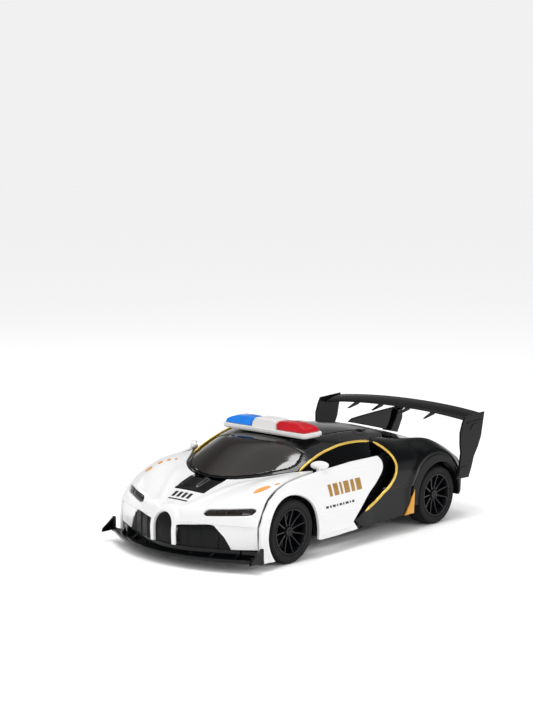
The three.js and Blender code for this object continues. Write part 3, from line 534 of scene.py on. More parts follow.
def intake_relief(points):
    y = np.abs(points[:, 1])
    fins = 0.6 * (1 - smooth(np.abs((y - 14) % 9 - 4.5), 0.35, 0.7)) * (y > 14)
    return -1.5 + fins


intakes = recessed(lambda p: -in_front(p, INTAKE, 0.6), intake_relief)
thick(piece("bumper_intakes", intakes, SATIN, "nose"), 0.9)


# %% [markdown]
# Each headlight is one dark moulded strip with four cells in a row and a smoked gloss. The cells
# are raised pads on the strip with narrow gaps, which is how a toy suggests LED lamps.

# %% Headlights
def lamp_relief(points):
    y = np.abs(points[:, 1])
    across = (y - 27.5) / 6.6
    cell = smooth(np.abs(across % 1 - 0.5), 0.5, 0.4) * (across > 0) * (across < 4)
    middle = 34 + (y - 29) * 0.066
    tall = smooth(np.abs(points[:, 2] - middle), 1.7, 1.1)
    return -1.3 + 0.75 * cell * tall


for side_name, sign in (("left", 1), ("right", -1)):
    lamp = recessed(lambda p: np.where(p[:, 1] * sign > 0, -in_front(p, LAMP, 0.15), -9), lamp_relief, 260, 380)
    thick(piece(f"headlight_strip_{side_name}", lamp, SMOKE, "nose", [f"headlight_{side_name}"]), 0.8)


# %% [markdown]
# The black vent on the hood is a scoop with a lip in front and a ridge along its middle. It is
# also the lid over the robot's head, so it rides on its own body.

# %% Hood vent
def vent_relief(points):
    x, y = points[:, 0], np.abs(points[:, 1])
    half = 14.2 - 1.2 * smooth(x, 84, 98.6)
    lip = 0.9 * smooth(x, 95.2, 97.6)
    spine = 1.5 * (1 - smooth(y, 0.8, 3.2)) * smooth(x, 99, 90)
    cheeks = 0.9 * smooth(y / half, 0.8, 0.93) * smooth(x, 99, 92)
    return -0.5 + lip + spine + cheeks


VENT_HINGE, VENT_REACH = (83.1, 45.1), 15.2
flap = nose_skin(220, 260)
trim(flap, lambda p: np.minimum(-vent(p, -0.4), p[:, 0] - 82.3))
trim(flap, lambda p: VENT_REACH - np.hypot(p[:, 0] - VENT_HINGE[0], p[:, 2] - VENT_HINGE[1]))
shift(flap, vent_relief)
thick(piece("hood_vent", flap, BLACK, "vent_flap", ["vent_flap"]), 1.4)


# %% [markdown]
# ## Lower bumper
# Under the nose a black blade sticks out: the splitter. It is cut from a flat outline with small
# upright fins at its ends, and a wall joins it to the bumper. All are one moulding on the toy.

# %% Splitter
SPLITTER = [(125, 0), (124.4, 10), (122.6, 22), (119.2, 34), (114, 46), (108.6, 56), (105, 62), (103.6, 66), (100.8, 66),
            (101.2, 60), (104, 46), (108, 32), (110.6, 18), (111.4, 0)]


def both_sides(outline):
    return outline + [(x, -y) for x, y in outline[::-1] if y > 0]


def outline_of(points, steps=40):
    return [tuple(p[:2]) for p in along([(a, b, 0) for a, b in points], np.linspace(0, 1, steps + 1))]


blade = plate(both_sides(SPLITTER), 6, 8.2, "z")
fins = [plate([(100.9, 7), (100.9, 15.4), (102.6, 15.9), (107, 12.6), (112, 9.4), (113, 7)], 64.5, 65.9, "y")]
fins.append(mirrored(fins[0].copy()))
for sign in (-1, 1):
    for y in (20, 34, 50):
        fins.append(plate([(106, 8), (106, 11.8), (119.6 - 0.0042 * y * y, 8.8), (119.6 - 0.0042 * y * y, 8)],
                          sign * y - 0.5, sign * y + 0.5, "y"))
chin_edge = outline_of([(x - 1, y * 0.985) for x, y, z in full(NOSE_NET[-1])])
chin_back = [(x - 2, y * 0.97) for x, y in chin_edge[::-1]]
chin = plate(chin_edge + chin_back, 7.8, 12.4, "z")
splitter = piece("splitter", merged(blade, chin, *fins), BLACK, "nose", ["splitter"])
soften(splitter, 0.35)


# %% [markdown]
# ## Printed marks and painted slots
# The hood has amber slots on each side that shrink towards the windshield, and a printed graphic.
# The graphic here is plain bars, not letters. Each mark is a flat shape dropped on to the skin,
# which is just what a pad printer does.

# %% Marks on the hood
def bars(shapes, axis, flat=0.0, fine=0.5):
    """Flat shapes, each a list of corners, as finely split faces in the plane across the axis."""
    bm = bmesh.new()
    for corners in shapes:
        bm.faces.new([bm.verts.new((a, b, flat) if axis == 2 else (a, flat, b)) for a, b in corners])
    longest = max(e.calc_length() for e in bm.edges)
    bmesh.ops.subdivide_edges(bm, edges=bm.edges, cuts=max(1, int(longest / fine / 4)), use_grid_fill=True)
    return bm


def slanted(a, b, wide, tall, lean):
    return [(a, b), (a + wide, b), (a + wide + lean, b + tall), (a + lean, b + tall)]


def ellipse(a, b, wide, tall, turn=0.0, count=28):
    corners = [(wide / 2 * cos(2 * pi * k / count), tall / 2 * sin(2 * pi * k / count)) for k in range(count)]
    return [(a + p * cos(turn) - q * sin(turn), b + p * sin(turn) + q * cos(turn)) for p, q in corners]


def oval(a, b, wide, tall, turn, slices=14):
    """An ellipse as a row of narrow four-sided cells, so that it can bend over a crease."""
    steps = [-cos(pi * k / slices) for k in range(slices + 1)]
    steps[0], steps[-1] = -0.995, 0.995
    cells = []
    for low, high in zip(steps, steps[1:]):
        corners = [(low, -1), (high, -1), (high, 1), (low, 1)]
        corners = [(wide / 2 * p, tall / 2 * q * sqrt(1 - p * p)) for p, q in corners]
        cells.append([(a + p * cos(turn) - q * sin(turn), b + p * sin(turn) + q * cos(turn)) for p, q in corners])
    return cells


hood_bars = [[(106.5 - 0.2, y), (106.5 - 0.2, y + 2.6), (101, y + 2.0), (101, y - 0.6)] for y in (-8, -3.8, 0.4, 4.6)]
hood_bars.append([(109, -8.2), (109, 8.4), (107.8, 8.4), (107.8, -8.2)])
mark = lay_on(bars(hood_bars, 2), nose_tree, 2)
face_out(mark)
piece("hood_mark", mark, BLACK_INK, "nose")

# The right side has a row of four shrinking slots, the left one long slot with a small one behind.
SLOTS = {-1: [(85.6, 49.6, 6.4, 4.2), (77.2, 47.6, 5.2, 3.0), (71.4, 45.6, 4.2, 2.2), (66.6, 43.6, 3.2, 1.6)],
         1: [(84.6, 49.2, 11.5, 3.2), (75.2, 53, 4, 1.3)]}
for sign, row in SLOTS.items():
    slots = bars([cell for x, y, long, wide in row for cell in oval(x, sign * y, long, wide, -sign * 0.4)], 2)
    bmesh.ops.remove_doubles(slots, verts=slots.verts, dist=0.01)
    slots = lay_on(slots, nose_tree, 2, lift=0.12)
    face_out(slots)
    piece("hood_slots_" + ("left" if sign > 0 else "right"), slots, AMBER_INK, "nose")


# %% [markdown]
# ## Roof and glazing
# The roof is gloss black and its side windows are moulded in the same shell, edged with a bright
# gold line from the foot of the windshield to the rear seam. The windshield is a smoked panel
# let into the front of it.

# %% Roof skin and windshield
ROOF_NET = [
    [(80.6, 0, 47.6), (76.6, 18, 48.3), (66, 33, 50.2), (47.5, 45.5, 52.2)],
    [(64, 0, 58.4), (61, 17, 58.3), (52, 31, 58), (38, 45.6, 56.8)],
    [(48, 0, 66.2), (46, 16, 65.8), (38, 30, 64.4), (27, 45.6, 60.6)],
    [(28, 0, 68.2), (27, 17, 67.9), (22, 32, 66.8), (8.7, 47, 64.2)],
    [(0, 0, 68.4), (0, 17, 68.1), (-2, 33, 66.9), (-6, 48, 64.3)],
    [(-26, 0, 67.5), (-26, 18, 67.1), (-26, 34, 65.6), (-20, 49.4, 62.9)],
    [(-48.2, 0, 65.8), (-48.2, 18, 65), (-48.2, 34, 63.2), (-30, 49.6, 61.4)],
]
GLASS_HALF = [(79.4, 0), (78.3, 9), (75.4, 17), (70.6, 25), (64.4, 31.4), (57, 36.6), (51, 40.2), (46.4, 41.4), (41, 40.9),
              (35.6, 38.4), (37.2, 31), (40.4, 22), (43.2, 12), (44.2, 0)]
GLASS = GLASS_HALF + [(x, -y) for x, y in GLASS_HALF[-2:0:-1]]
REAR_EDGE = [(-60, 41.6), (-48, 41.6), (-40, 41.8), (-32, 42.8), (-24.4, 44.8), (-20.6, 47), (-18.4, 50), (-18.4, 80), (-60, 80)]


def windshield(points, grow=0.0):
    return polygon(GLASS, points[:, 0], points[:, 1]) - grow


def roof_relief(points):
    x, y = points[:, 0], np.abs(points[:, 1])
    seat = -0.7 * (1 - smooth(windshield(points), 0.1, 0.7))
    gutter = -0.45 * np.exp(-((y - (26 + 0.05 * (x + 48))) / 0.55) ** 2) * smooth(-x, -16, -2) * smooth(x, -47, -40)
    scoop = polygon(ellipse(-30, 31, 20, 6.5, 0.5), x, y)
    dish = -1.1 * (1 - smooth(scoop, -1.6, 0.2)) + 0.3 * np.exp(-(scoop / 0.6) ** 2)
    return seat + gutter + dish


roof_bm = skin([full(row) for row in ROOF_NET], 170, 130)
shift(roof_bm, roof_relief)
trim(roof_bm, lambda p: polygon(REAR_EDGE, p[:, 0], np.abs(p[:, 1])))
trim(roof_bm, lambda p: windshield(p))
thick(piece("roof_shell", roof_bm, BLACK, "roof", ["roof_panel"]), 1.9)

glass = skin([full(row) for row in ROOF_NET], 120, 110)
trim(glass, lambda p: -windshield(p, -0.25))
shift(glass, lambda p: -0.25 + 0 * p[:, 0])
thick(piece("smoked_windshield", glass, SMOKE, "roof", ["windshield"]), 1.5, edge=0.3)


# %% [markdown]
# The side windows lean in under the roof's edge. They are the same black as the roof, so only
# their gloss and the step below the gold line tell them apart.

# %% Side windows and gold lines on the roof
WINDOW_NET = [
    [(46, 45.6, 51.8), (46.4, 46, 50.8), (46.6, 46.4, 50)],
    [(27, 45.3, 60.1), (28, 47, 54.5), (28.6, 49.2, 50)],
    [(8.7, 46.7, 63.6), (9, 48.8, 56.5), (9, 51, 50)],
    [(-6, 47.7, 63.7), (-6, 49.8, 56.5), (-6, 51.8, 50)],
    [(-18.4, 48.9, 62.4), (-18.4, 50.4, 56), (-18.4, 52, 50)],
]
ROOF_LINE = [(47.6, 46.6, 52.4), (38, 46.7, 56.9), (27, 46.7, 60.7), (17.5, 47.5, 63), (8.7, 48.1, 64.3), (-6, 49.1, 64.4),
             (-17.4, 49.7, 63.2)]
for side_name, sign in (("left", 1), ("right", -1)):
    window = skin([[(x, sign * y, z) for x, y, z in row] for row in WINDOW_NET], 60, 16)
    thick(piece(f"side_window_{side_name}", window, BLACK, "roof"), 1.5)
    line = strip([(x, sign * y, z) for x, y, z in ROOF_LINE], 1.7, 1.3)
    piece(f"roof_gold_line_{side_name}", line, GOLD_LINE, "roof", sharp=60)


# %% [markdown]
# ## Light bar
# An off-white tray with a raised middle carries a blue lens and a red one. Each lens is a clear
# moulding with upright walls up to a shoulder, then sloped ends and a narrow flat top.

# %% Light bar
BAR_X = 22


def rounded_plan(half_x, half_y, corner, count=8):
    points = []
    for cx, cy, start in ((1, 1, 0), (-1, 1, 90), (-1, -1, 180), (1, -1, 270)):
        for k in range(count + 1):
            turn = radians(start + 90 * k / count)
            points.append((BAR_X + cx * (half_x - corner) + corner * cos(turn), cy * (half_y - corner) + corner * sin(turn)))
    return points


tray = plate(rounded_plan(9.2, 37, 3.4), 69.6, 72, "z")
lip = plate(rounded_plan(8.3, 36, 3), 68.7, 69.8, "z")
middle = plate([(-10.6, 71.8), (-9.9, 75.2), (-8.6, 77.8), (8.6, 77.8), (9.9, 75.2), (10.6, 71.8)], BAR_X - 8, BAR_X + 8, "x")
for vert in middle.verts:
    vert.co.x = BAR_X + (vert.co.x - BAR_X) * (1 - 0.24 * max(0, vert.co.z - 75) / 2.8)
feet = [block((BAR_X - 6, BAR_X + 6), (s * 24 - 3, s * 24 + 3), (68.1, 69)) for s in (-1, 1)]
bar = piece("light_bar_tray", merged(tray, lip, middle, *feet), LAMP_WHITE, "roof", ["light_bar_base"])
soften(bar, 0.7, segments=4, angle=35)


def lens(sign):
    """Outer shell of one lens: upright walls up to a shoulder, then slopes to a narrow flat top."""
    profile = [(11.2, 72.1), (10.7, 75.2), (10.2, 77.2), (18, 77.6), (26.4, 77.4), (31.4, 75.9), (34, 74.6), (34.8, 72.1)]
    bm = plate([(sign * y, z) for y, z in profile], BAR_X - 7.6, BAR_X + 7.6, "x")
    for vert in bm.verts:
        slope = max(0, vert.co.z - 75) / 2.6
        vert.co.x = BAR_X + (vert.co.x - BAR_X) * (1 - 0.03 * (vert.co.z - 72.1) - 0.34 * slope)
    return bm


for side_name, sign, material, slot in (("left", 1, RED, "red_lens"), ("right", -1, BLUE, "blue_lens")):
    shell = piece(f"lens_{side_name}", lens(sign), material, "roof", [f"light_lens_{side_name}"])
    soften(shell, 0.6, segments=4, angle=20)


# %% [markdown]
# ## Rear shell
# The rear body is one black moulding: deck, fenders and quarters. It swells over the wheels and
# its front edge follows the big curve of the side, which is picked out in gold.

# %% Rear skin
SIDE_LINE = [(-18.6, 64), (-26, 57), (-30, 47), (-26, 38), (-14, 29), (2, 22)]
REAR_NET = [
    [(-12, 0, 67.5), (-12, 20, 67), (-12, 40, 65), (-12, 50, 62.5), (-6, 57, 54), (4, 61, 44), (12, 62, 30), (16, 62.6, 11)],
    [(-30, 0, 67), (-30, 20, 66.2), (-30, 40, 64), (-30, 51, 61), (-30, 59, 53), (-30, 62, 43), (-30, 62, 30), (-30, 62.8, 12)],
    [(-52, 0, 65), (-52, 20, 63.5), (-52, 38, 60.5), (-52, 50, 58.5), (-52, 59.5, 52), (-52, 62.5, 42), (-52, 62.5, 30),
     (-52, 63, 13)],
    [(-76, 0, 59), (-76, 20, 57.5), (-76, 38, 56), (-76, 51, 57.5), (-76, 60.5, 51), (-76, 63, 42), (-76, 62.5, 30),
     (-76, 62.5, 14)],
    [(-93, 0, 54.5), (-93, 20, 53), (-93, 38, 51.5), (-93, 50, 51.5), (-93, 59.5, 46), (-93, 62.5, 38), (-93, 62.5, 28),
     (-93, 62, 16)],
    [(-105, 0, 49.5), (-105, 20, 48.5), (-105, 38, 47), (-105, 49, 45), (-105, 57, 41), (-105, 60.5, 34), (-105, 60.5, 27),
     (-105, 60, 18)],
]
REAR_FRONT = outline_of(SIDE_LINE) + [(10.4, 17.4), (4.6, 12.6), (6, 0), (30, 0), (30, 80), (-18.6, 80)]
ROOF_OPENING = [(30, -80), (30, 80), (-18.6, 80), (-18.6, 50), (-20.8, 47.6), (-25, 45.4), (-36, 42.6), (-51.4, 42)]
ROOF_OPENING += [(x, -y) for x, y in ROOF_OPENING[:2:-1]]
REAR_AXLE = Vector((-76, 0, 20))


def rear_arch(points, radius=26.8):
    ring = np.hypot(points[:, 0] - REAR_AXLE.x - 2.5, points[:, 2] - 21.5) - radius
    below = np.maximum(np.abs(points[:, 0] - REAR_AXLE.x) - 24, points[:, 2] - 15)
    return np.where(np.abs(points[:, 1]) > 40, np.minimum(ring, below), 50)


def rear_relief(points):
    x, y, z = points[:, 0], np.abs(points[:, 1]), points[:, 2]
    side = smooth(y, 54, 59)
    ledge_z = 30.5 + (x + 50) * 0.06
    ledge = (0.9 * smooth(z, ledge_z - 0.5, ledge_z + 0.5) - 0.5) * side * smooth(x, -56, -50) * smooth(-x, -4, 10)
    arch_swell = 0.7 * np.exp(-((np.hypot(x + 73.5, z - 21.5) - 29) / 2.6) ** 2) * side
    deck = smooth(50 - y, 0, 3) * smooth(z, 40, 46)
    seam = -0.5 * np.exp(-((y - 34) / 0.5) ** 2) * smooth(-x, 54, 58)
    louvres = -0.9 * smooth(np.sin((x + 54) * 2 * pi / 6.5), 0.1, 0.75) * smooth(y, 6, 8) * smooth(28 - y, 0, 2)
    louvres = louvres * smooth(-x, 60, 62) * smooth(x, -95, -93)
    return ledge + arch_swell + deck * (seam + louvres)


rear_bm = skin([full(row) for row in REAR_NET], 150, 300)
shift(rear_bm, rear_relief)
for cutout in (lambda p: np.where(np.abs(p[:, 1]) > 45, polygon(REAR_FRONT, p[:, 0], p[:, 2]), np.maximum(50 * (p[:, 0] < -19), 1)),
               lambda p: polygon(ROOF_OPENING, p[:, 0], p[:, 1]) * np.where(p[:, 2] > 55, 1, 0) + np.where(p[:, 2] > 55, 0, 50),
               rear_arch, lambda p: np.where(p[:, 0] > -40, p[:, 2] - 11.5, 50)):
    trim(rear_bm, cutout)
rear_tree = BVHTree.FromBMesh(rear_bm)
thick(piece("rear_body", rear_bm, BLACK, "base", ["rear_shell"]), 1.8)


# %% [markdown]
# A gold line follows the front edge of the quarter, found by casting rays at the finished skin so
# that it lies on it. A gold fin and a plain black flare stand round each rear wheel.

# %% Gold line, gold fins and wheel-arch flares
def rest_on(x, z, sign, tree, lift):
    point, *_ = tree.ray_cast(Vector((x, sign * 90, z)), Vector((0, -sign, 0)))
    return (x, point.y + sign * lift, z) if point else None


FIN = [(-49.6, 28.8), (-48.6, 12.2), (-39.2, 12.2), (-43.6, 18.4), (-47, 24.6)]
ARCH_TURN = [radians(188 - 196 * k / 60) for k in range(61)]
for side_name, sign in (("left", 1), ("right", -1)):
    edge = [rest_on(x - 1.0, z - 0.4, sign, rear_tree, 0.1) for x, z in outline_of(SIDE_LINE, 24)]
    edge = [at for at in edge if at and abs(at[1]) > 49.4]
    piece(f"quarter_gold_line_{side_name}", strip(edge, 2.0, 1.4), GOLD_LINE, "base", sharp=60)
    fin = piece(f"quarter_fin_{side_name}", plate(FIN, sign * 61.6, sign * 63.6, "y"), GOLD, "base")
    soften(fin, 0.4, segments=3)
    outer = [(REAR_AXLE.x + 2.5 + 27 * cos(t), max(13.5, 21.5 + 27 * sin(t))) for t in ARCH_TURN]
    inner = [(REAR_AXLE.x + 22.6 * cos(t), max(13.5, 20 + 22.6 * sin(t))) for t in ARCH_TURN[::-1]]
    flare = plate(outer + inner, sign * 57.2, sign * 63.4, "y")
    flare = piece(f"flare_{side_name}", flare, SATIN, "base", [f"arch_flare_{side_name}"], sharp=30)
    soften(flare, 0.7, segments=3, angle=40)


# %% [markdown]
# ## Doors
# A door is the whole white flank between the wheel arches. Its front wraps round the wheel, its
# rear edge follows the curve of the quarter with an even gap, and a shallow crease runs along it.

# %% Door panels
DOOR_NET = [
    [(-23, 60.2, 10), (-23, 61, 24), (-23, 60.6, 40), (-23, 57, 55.4)],
    [(0, 62, 10), (0, 62, 24), (0, 61, 40), (0, 57.4, 55)],
    [(24, 64, 10), (24, 62.6, 24), (24, 61.6, 40), (24, 57.8, 54.6)],
    [(44, 64.6, 9), (44, 62.8, 22), (44, 62, 38), (44, 57.6, 53.4)],
    [(62, 64.2, 4), (62, 62.8, 20), (62, 62.4, 38), (62, 56.8, 51.8)],
    [(78, 63.6, 4), (78, 62.8, 20), (78, 62.4, 36), (78, 57.2, 49.2)],
    [(90, 62.8, 4), (90, 62.8, 16), (90, 62.2, 32), (90, 58, 42.6)],
    [(99.8, 62.2, 4), (99.8, 62, 14), (99.8, 61.4, 27), (99.8, 59.4, 33)],
]
DOOR_REAR = [(-17, 54.5), (-20.2, 51), (-20.2, 46.5), (-13, 39.5), (-3.6, 32.6), (5.5, 24), (13.6, 17)]
DOOR_EDGE = outline_of(DOOR_REAR) + [(9, 11.5), (30, 11), (60, 11), (80, 5), (99.5, 5), (99.7, 16), (99.3, 27),
                                     (94.7, 35.2), (88, 42), (79.4, 47), (70, 50), (56, 51.8), (40, 53.2), (10, 54.6)]
FRONT_AXLE = Vector((71, 0, 20))


def door_keep(points):
    x, z = points[:, 0], points[:, 2]
    wheel = np.hypot(x - FRONT_AXLE.x, z - FRONT_AXLE.z) - 23
    below = np.maximum(np.abs(x - 67.3) - 21.3, z - 12)
    return np.minimum(-polygon(DOOR_EDGE, x, z), np.minimum(wheel, below))


def door_relief(points):
    x, z = points[:, 0], points[:, 2]
    wheel = np.hypot(x - FRONT_AXLE.x, z - FRONT_AXLE.z) - 23
    lip = 0.75 * (1 - smooth(wheel, 1.4, 3.4))
    crease_z = 24.5 + (x - 20) * 0.09
    crease = 0.8 * smooth(z - crease_z, -5, 0) * (1 - smooth(z - crease_z, 0, 0.9)) * smooth(x, 10, 18) * smooth(-x, -48, -40)
    sill = -0.8 * smooth(-z, -14.2, -13.4) * smooth(x, 12, 20) * smooth(-x, -47, -44)
    shoulder = 0.5 * np.exp(-((z - (50.5 - 0.0009 * (x - 20) ** 2)) / 1.6) ** 2) * smooth(x, -16, -8) * smooth(-x, -70, -60)
    return lip + crease + sill + shoulder


def door_skin(sign, rows=200, columns=130):
    bm = skin([[(x, sign * y, z) for x, y, z in row] for row in DOOR_NET], rows, columns)
    shift(bm, door_relief)
    return bm


def sphere(centre, radii, rings=24, sides=36):
    bm = bmesh.new()
    bmesh.ops.create_uvsphere(bm, u_segments=sides, v_segments=rings, radius=1)
    for vert in bm.verts:
        vert.co = Vector(centre) + Vector([a * b for a, b in zip(vert.co, radii)])
    return bm


door_trees = {}
for side_name, sign in (("left", 1), ("right", -1)):
    door = door_skin(sign)
    trim(door, door_keep)
    door_trees[side_name] = BVHTree.FromBMesh(door)
    thick(piece(f"door_{side_name}", door, WHITE, f"door_{side_name}", [f"door_panel_{side_name}"]), 1.9)

    # The mirror is a long pod swept back from the door's top edge, with its glass to the driver.
    sweep = Matrix.Translation((38.2, sign * 55.4, 55.8)) @ Matrix.Rotation(sign * radians(40), 4, "Z")
    pod = sphere((0, 0, 0), (2.9, 5.8, 2.8))
    for vert in pod.verts:
        if vert.co.x < -1.4:
            vert.co.x = -1.4 - (-1.4 - vert.co.x) * 0.2
    pod.transform(sweep)
    stem = block((36.4, 40.6), sorted((sign * 54.8, sign * 57.3)), (51.9, 54.6))
    piece(f"mirror_{side_name}", merged(pod, stem), WHITE, f"door_{side_name}", sharp=45)
    reflector = rod((-2.0, 0, 0), (-1.6, 0, 0), 2.1)
    bmesh.ops.scale(reflector, vec=(1, 2.1, 1), verts=reflector.verts)
    reflector.transform(sweep)
    piece(f"mirror_glass_{side_name}", reflector, SILVER, f"door_{side_name}")


# %% [markdown]
# The door's print is a band of slanted bars with a short row of dashes under it. Bars stand in
# for lettering, so nothing on the door can be read.

# %% Door graphics
BAR_WIDTHS = (5.2, 3.6, 5.2, 2.2, 4.6, 3.0)
DASHES = [(12.0, 2.2), (15.4, 1.2), (17.8, 3.0), (22.0, 1.4), (24.4, 2.4), (28.2, 1.2), (30.6, 2.8), (34.6, 1.6), (37.4, 2.6)]
for side_name, sign in (("left", 1), ("right", -1)):
    shapes, x = [], 3.6
    for wide in BAR_WIDTHS:
        shapes.append(slanted(x, 36.4, wide, 7.6, 1.2))
        x += wide + 1.7
    gold_bars = lay_on(bars(shapes, 1, flat=sign), door_trees[side_name], 1)
    face_out(gold_bars)
    piece(f"door_bars_{side_name}", gold_bars, GOLD_INK, f"door_{side_name}")
    dashes = lay_on(bars([slanted(a, 29.4, wide, 1.5, 0.3) for a, wide in DASHES], 1, flat=sign), door_trees[side_name], 1)
    face_out(dashes)
    piece(f"door_dashes_{side_name}", dashes, BLACK_INK, f"door_{side_name}")


# %% [markdown]
# Behind each door a bracket holds the front wheel and the end of the swinging arm. In the robot
# they face out, so they get ribs, a screw boss and rounded edges.

# %% Door brackets
def inset_ring(centre, outer, inner, low, high, sides=64):
    """A flat ring about an axis along Y."""
    bm = bmesh.new()
    loops = []
    for radius, y in ((outer, low), (outer, high), (inner, high), (inner, low)):
        ring = bmesh.ops.create_circle(bm, segments=sides, radius=radius,
                                       matrix=Matrix.Translation((centre[0], y, centre[1])) @ Matrix.Rotation(pi / 2, 4, "X"))["verts"]
        loops.append([e for e in bm.edges if e.verts[0] in ring and e.verts[1] in ring])
    for a, b in zip(loops, loops[1:] + loops[:1]):
        bmesh.ops.bridge_loops(bm, edges=a + b)
    bmesh.ops.recalc_face_normals(bm, faces=bm.faces)
    return bm


for side_name, sign in (("left", 1), ("right", -1)):
    s = sign
    wheel_cover = [(FRONT_AXLE.x + 17 * cos(t), max(5.0, 20 + 17 * sin(t))) for t in np.linspace(0, 2 * pi, 65)[:-1]]
    parts = [plate(wheel_cover, s * 44.6, s * 46.2, "y"), block((42.4, 48.6), sorted((s * 44.2, s * 60)), (14, 34)),
             block((46, 60), sorted((s * 44.5, s * 46.3)), (14, 34)), block((46, 55), sorted((s * 44.2, s * 46.4)), (14.4, 39)),
             rod((71, s * 46, 20), (71, s * 56, 20), 1.9), rod((51.1, s * 40, 15), (51.1, s * 40, 38), 1.7),
             inset_ring((71, 20), 15.6, 14.4, s * 43.8, s * 44.8), inset_ring((71, 20), 6, 4.8, s * 43.6, s * 44.8)]
    for low, high in ((14.4, 18.6), (36, 39)):
        ear = [(46, s * 46), (46, s * 41)] + [(51.1 + 3.6 * cos(t), s * (40 - 3.6 * sin(t))) for t in np.linspace(pi, 0, 17)]
        parts.append(plate([(a, b) for a, b in ear] + [(54.7, s * 45.8)], low, high, "z"))
    for turn in range(6):
        t = turn * pi / 3 + 0.3
        parts.append(plate([(71 + 5.5 * cos(t - 0.1), 20 + 5.5 * sin(t - 0.1)), (71 + 14.8 * cos(t - 0.04), 20 + 14.8 * sin(t - 0.04)),
                            (71 + 14.8 * cos(t + 0.04), 20 + 14.8 * sin(t + 0.04)), (71 + 5.5 * cos(t + 0.1), 20 + 5.5 * sin(t + 0.1))],
                           s * 43.8, s * 44.8, "y"))
    bracket = piece(f"bracket_{side_name}", merged(*parts), FRAME, f"door_{side_name}", [f"door_bracket_{side_name}"])
    soften(bracket, 0.35, angle=40)


# %% [markdown]
# ## Wheels
# Each wheel has a thin rim, eleven slim spokes that dish in to a small hub, and a low-profile
# rubber tyre with fine cross ribs for grip on a smooth floor.

# %% Wheels
def spun(profile, sides=96):
    """A profile of (radius, y) turned about the Y axis."""
    bm = bmesh.new()
    verts = [bm.verts.new((r, y, 0)) for r, y in profile]
    edges = [bm.edges.new(pair) for pair in zip(verts, verts[1:])]
    bmesh.ops.spin(bm, geom=verts + edges, cent=(0, 0, 0), axis=(0, 1, 0), angle=2 * pi, steps=sides, use_merge=True)
    bmesh.ops.remove_doubles(bm, verts=bm.verts, dist=1e-4)
    bmesh.ops.recalc_face_normals(bm, faces=bm.faces)
    return bm


TYRE_SECTION = [(14.6, 49.2), (15.6, 48.5), (17.6, 48.1), (18.5, 48.15), (19.4, 48.8), (19.85, 49.9), (19.9, 51), (19.55, 51.1),
                (19.55, 51.5), (19.95, 51.6), (19.97, 54.7), (19.6, 54.8), (19.6, 55.2), (19.97, 55.3), (19.95, 58.4),
                (19.55, 58.5), (19.55, 58.9), (19.9, 59), (19.85, 60.1), (19.4, 61.2), (18.5, 61.85), (17.6, 61.9),
                (17.2, 61.65), (16.6, 61.6), (16.2, 61.85), (15.2, 61.7), (14.6, 61.0), (14.6, 49.2)]
RIM_SECTION = [(12.4, 49.5), (14.1, 49.5), (14.1, 60.6), (14.6, 60.9), (14.5, 61.4), (14.1, 61.5), (13.5, 61.3), (13.0, 60.2),
               (12.6, 57.6), (12.4, 49.5)]
HUB_SECTION = [(0, 59.7), (1.0, 59.7), (1.3, 59.4), (1.9, 59.4), (2.2, 59.7), (2.9, 59.6), (3.3, 59.0), (3.4, 57.0), (3.2, 52),
               (1.9, 52), (1.9, 56.4), (0, 56.4)]


def tread(bm, ribs=72):
    """Presses a fine cross rib into the tread."""
    for vert in bm.verts:
        reach = hypot(vert.co.x, vert.co.z)
        if reach > 18.2:
            turn = atan2(vert.co.z, vert.co.x)
            groove = smooth(np.array([abs(((turn * ribs / (2 * pi)) % 1) - 0.5)]), 0.34, 0.42)[0]
            edge = smooth(np.array([abs(vert.co.y - 55)]), 3.0, 4.4)[0]
            scale = 1 - 0.022 * (1 - groove) * edge
            vert.co.x, vert.co.z = vert.co.x * scale, vert.co.z * scale


def spoke(turn):
    """One slim spoke, deeper and closer to the car at the hub."""
    bm = plate([(2.8, -0.95), (6, -0.72), (12.9, -0.62), (13.4, -0.95), (13.4, 0.95), (12.9, 0.62), (6, 0.72), (2.8, 0.95)], 0, 1, "y")
    bmesh.ops.subdivide_edges(bm, edges=[e for e in bm.edges if e.calc_length() > 3], cuts=4)
    for vert in bm.verts:
        reach, top = vert.co.x, vert.co.y > 0.5
        dish = 59.1 + 2.0 * max(0, (reach - 3) / 10.4) ** 1.7 - 0.25
        vert.co.y = dish if top else dish - 2.4 + 0.6 * (reach / 13.4)
        if top:
            vert.co.z *= 0.72
    bmesh.ops.rotate(bm, verts=bm.verts, cent=(0, 0, 0), matrix=Matrix.Rotation(turn, 3, "Y"))
    return bm


def at_axle(bm, x, sign):
    if sign < 0:
        other = mirrored(bm)
        bm.free()
        bm = other
    bmesh.ops.translate(bm, vec=(x, 0, 20), verts=bm.verts)
    return bm


BACK_SECTION = [(0, 53.4), (12.2, 53.4), (12.6, 53.8), (12.4, 54.2), (0, 54.2)]
for end, axle_x in (("rear", REAR_AXLE.x), ("front", FRONT_AXLE.x)):
    for side_name, sign in (("left", 1), ("right", -1)):
        body = f"{end}_wheel_{side_name}"
        tyre = spun(TYRE_SECTION, 432)
        tread(tyre)
        tyre = piece(f"{end}_tyre_{side_name}_rubber", at_axle(tyre, axle_x, sign), TYRE, body,
                     [f"{end}_tyre_{side_name}"], sharp=50)
        wheel = merged(spun(RIM_SECTION), spun(HUB_SECTION, 48), spun(BACK_SECTION, 48),
                       *[spoke(2 * pi * k / 11) for k in range(11)])
        wheel = piece(f"{end}_wheel_{side_name}", at_axle(wheel, axle_x, sign), RIM, body, [f"{end}_rim_{side_name}"])
        soften(wheel, 0.14, angle=40)
        if end == "rear":
            cap = at_axle(rod((0, 50, 0), (0, 53.8, 0), 3.1), axle_x, sign)
            piece(f"rear_axle_nut_{side_name}", cap, STEEL, body)


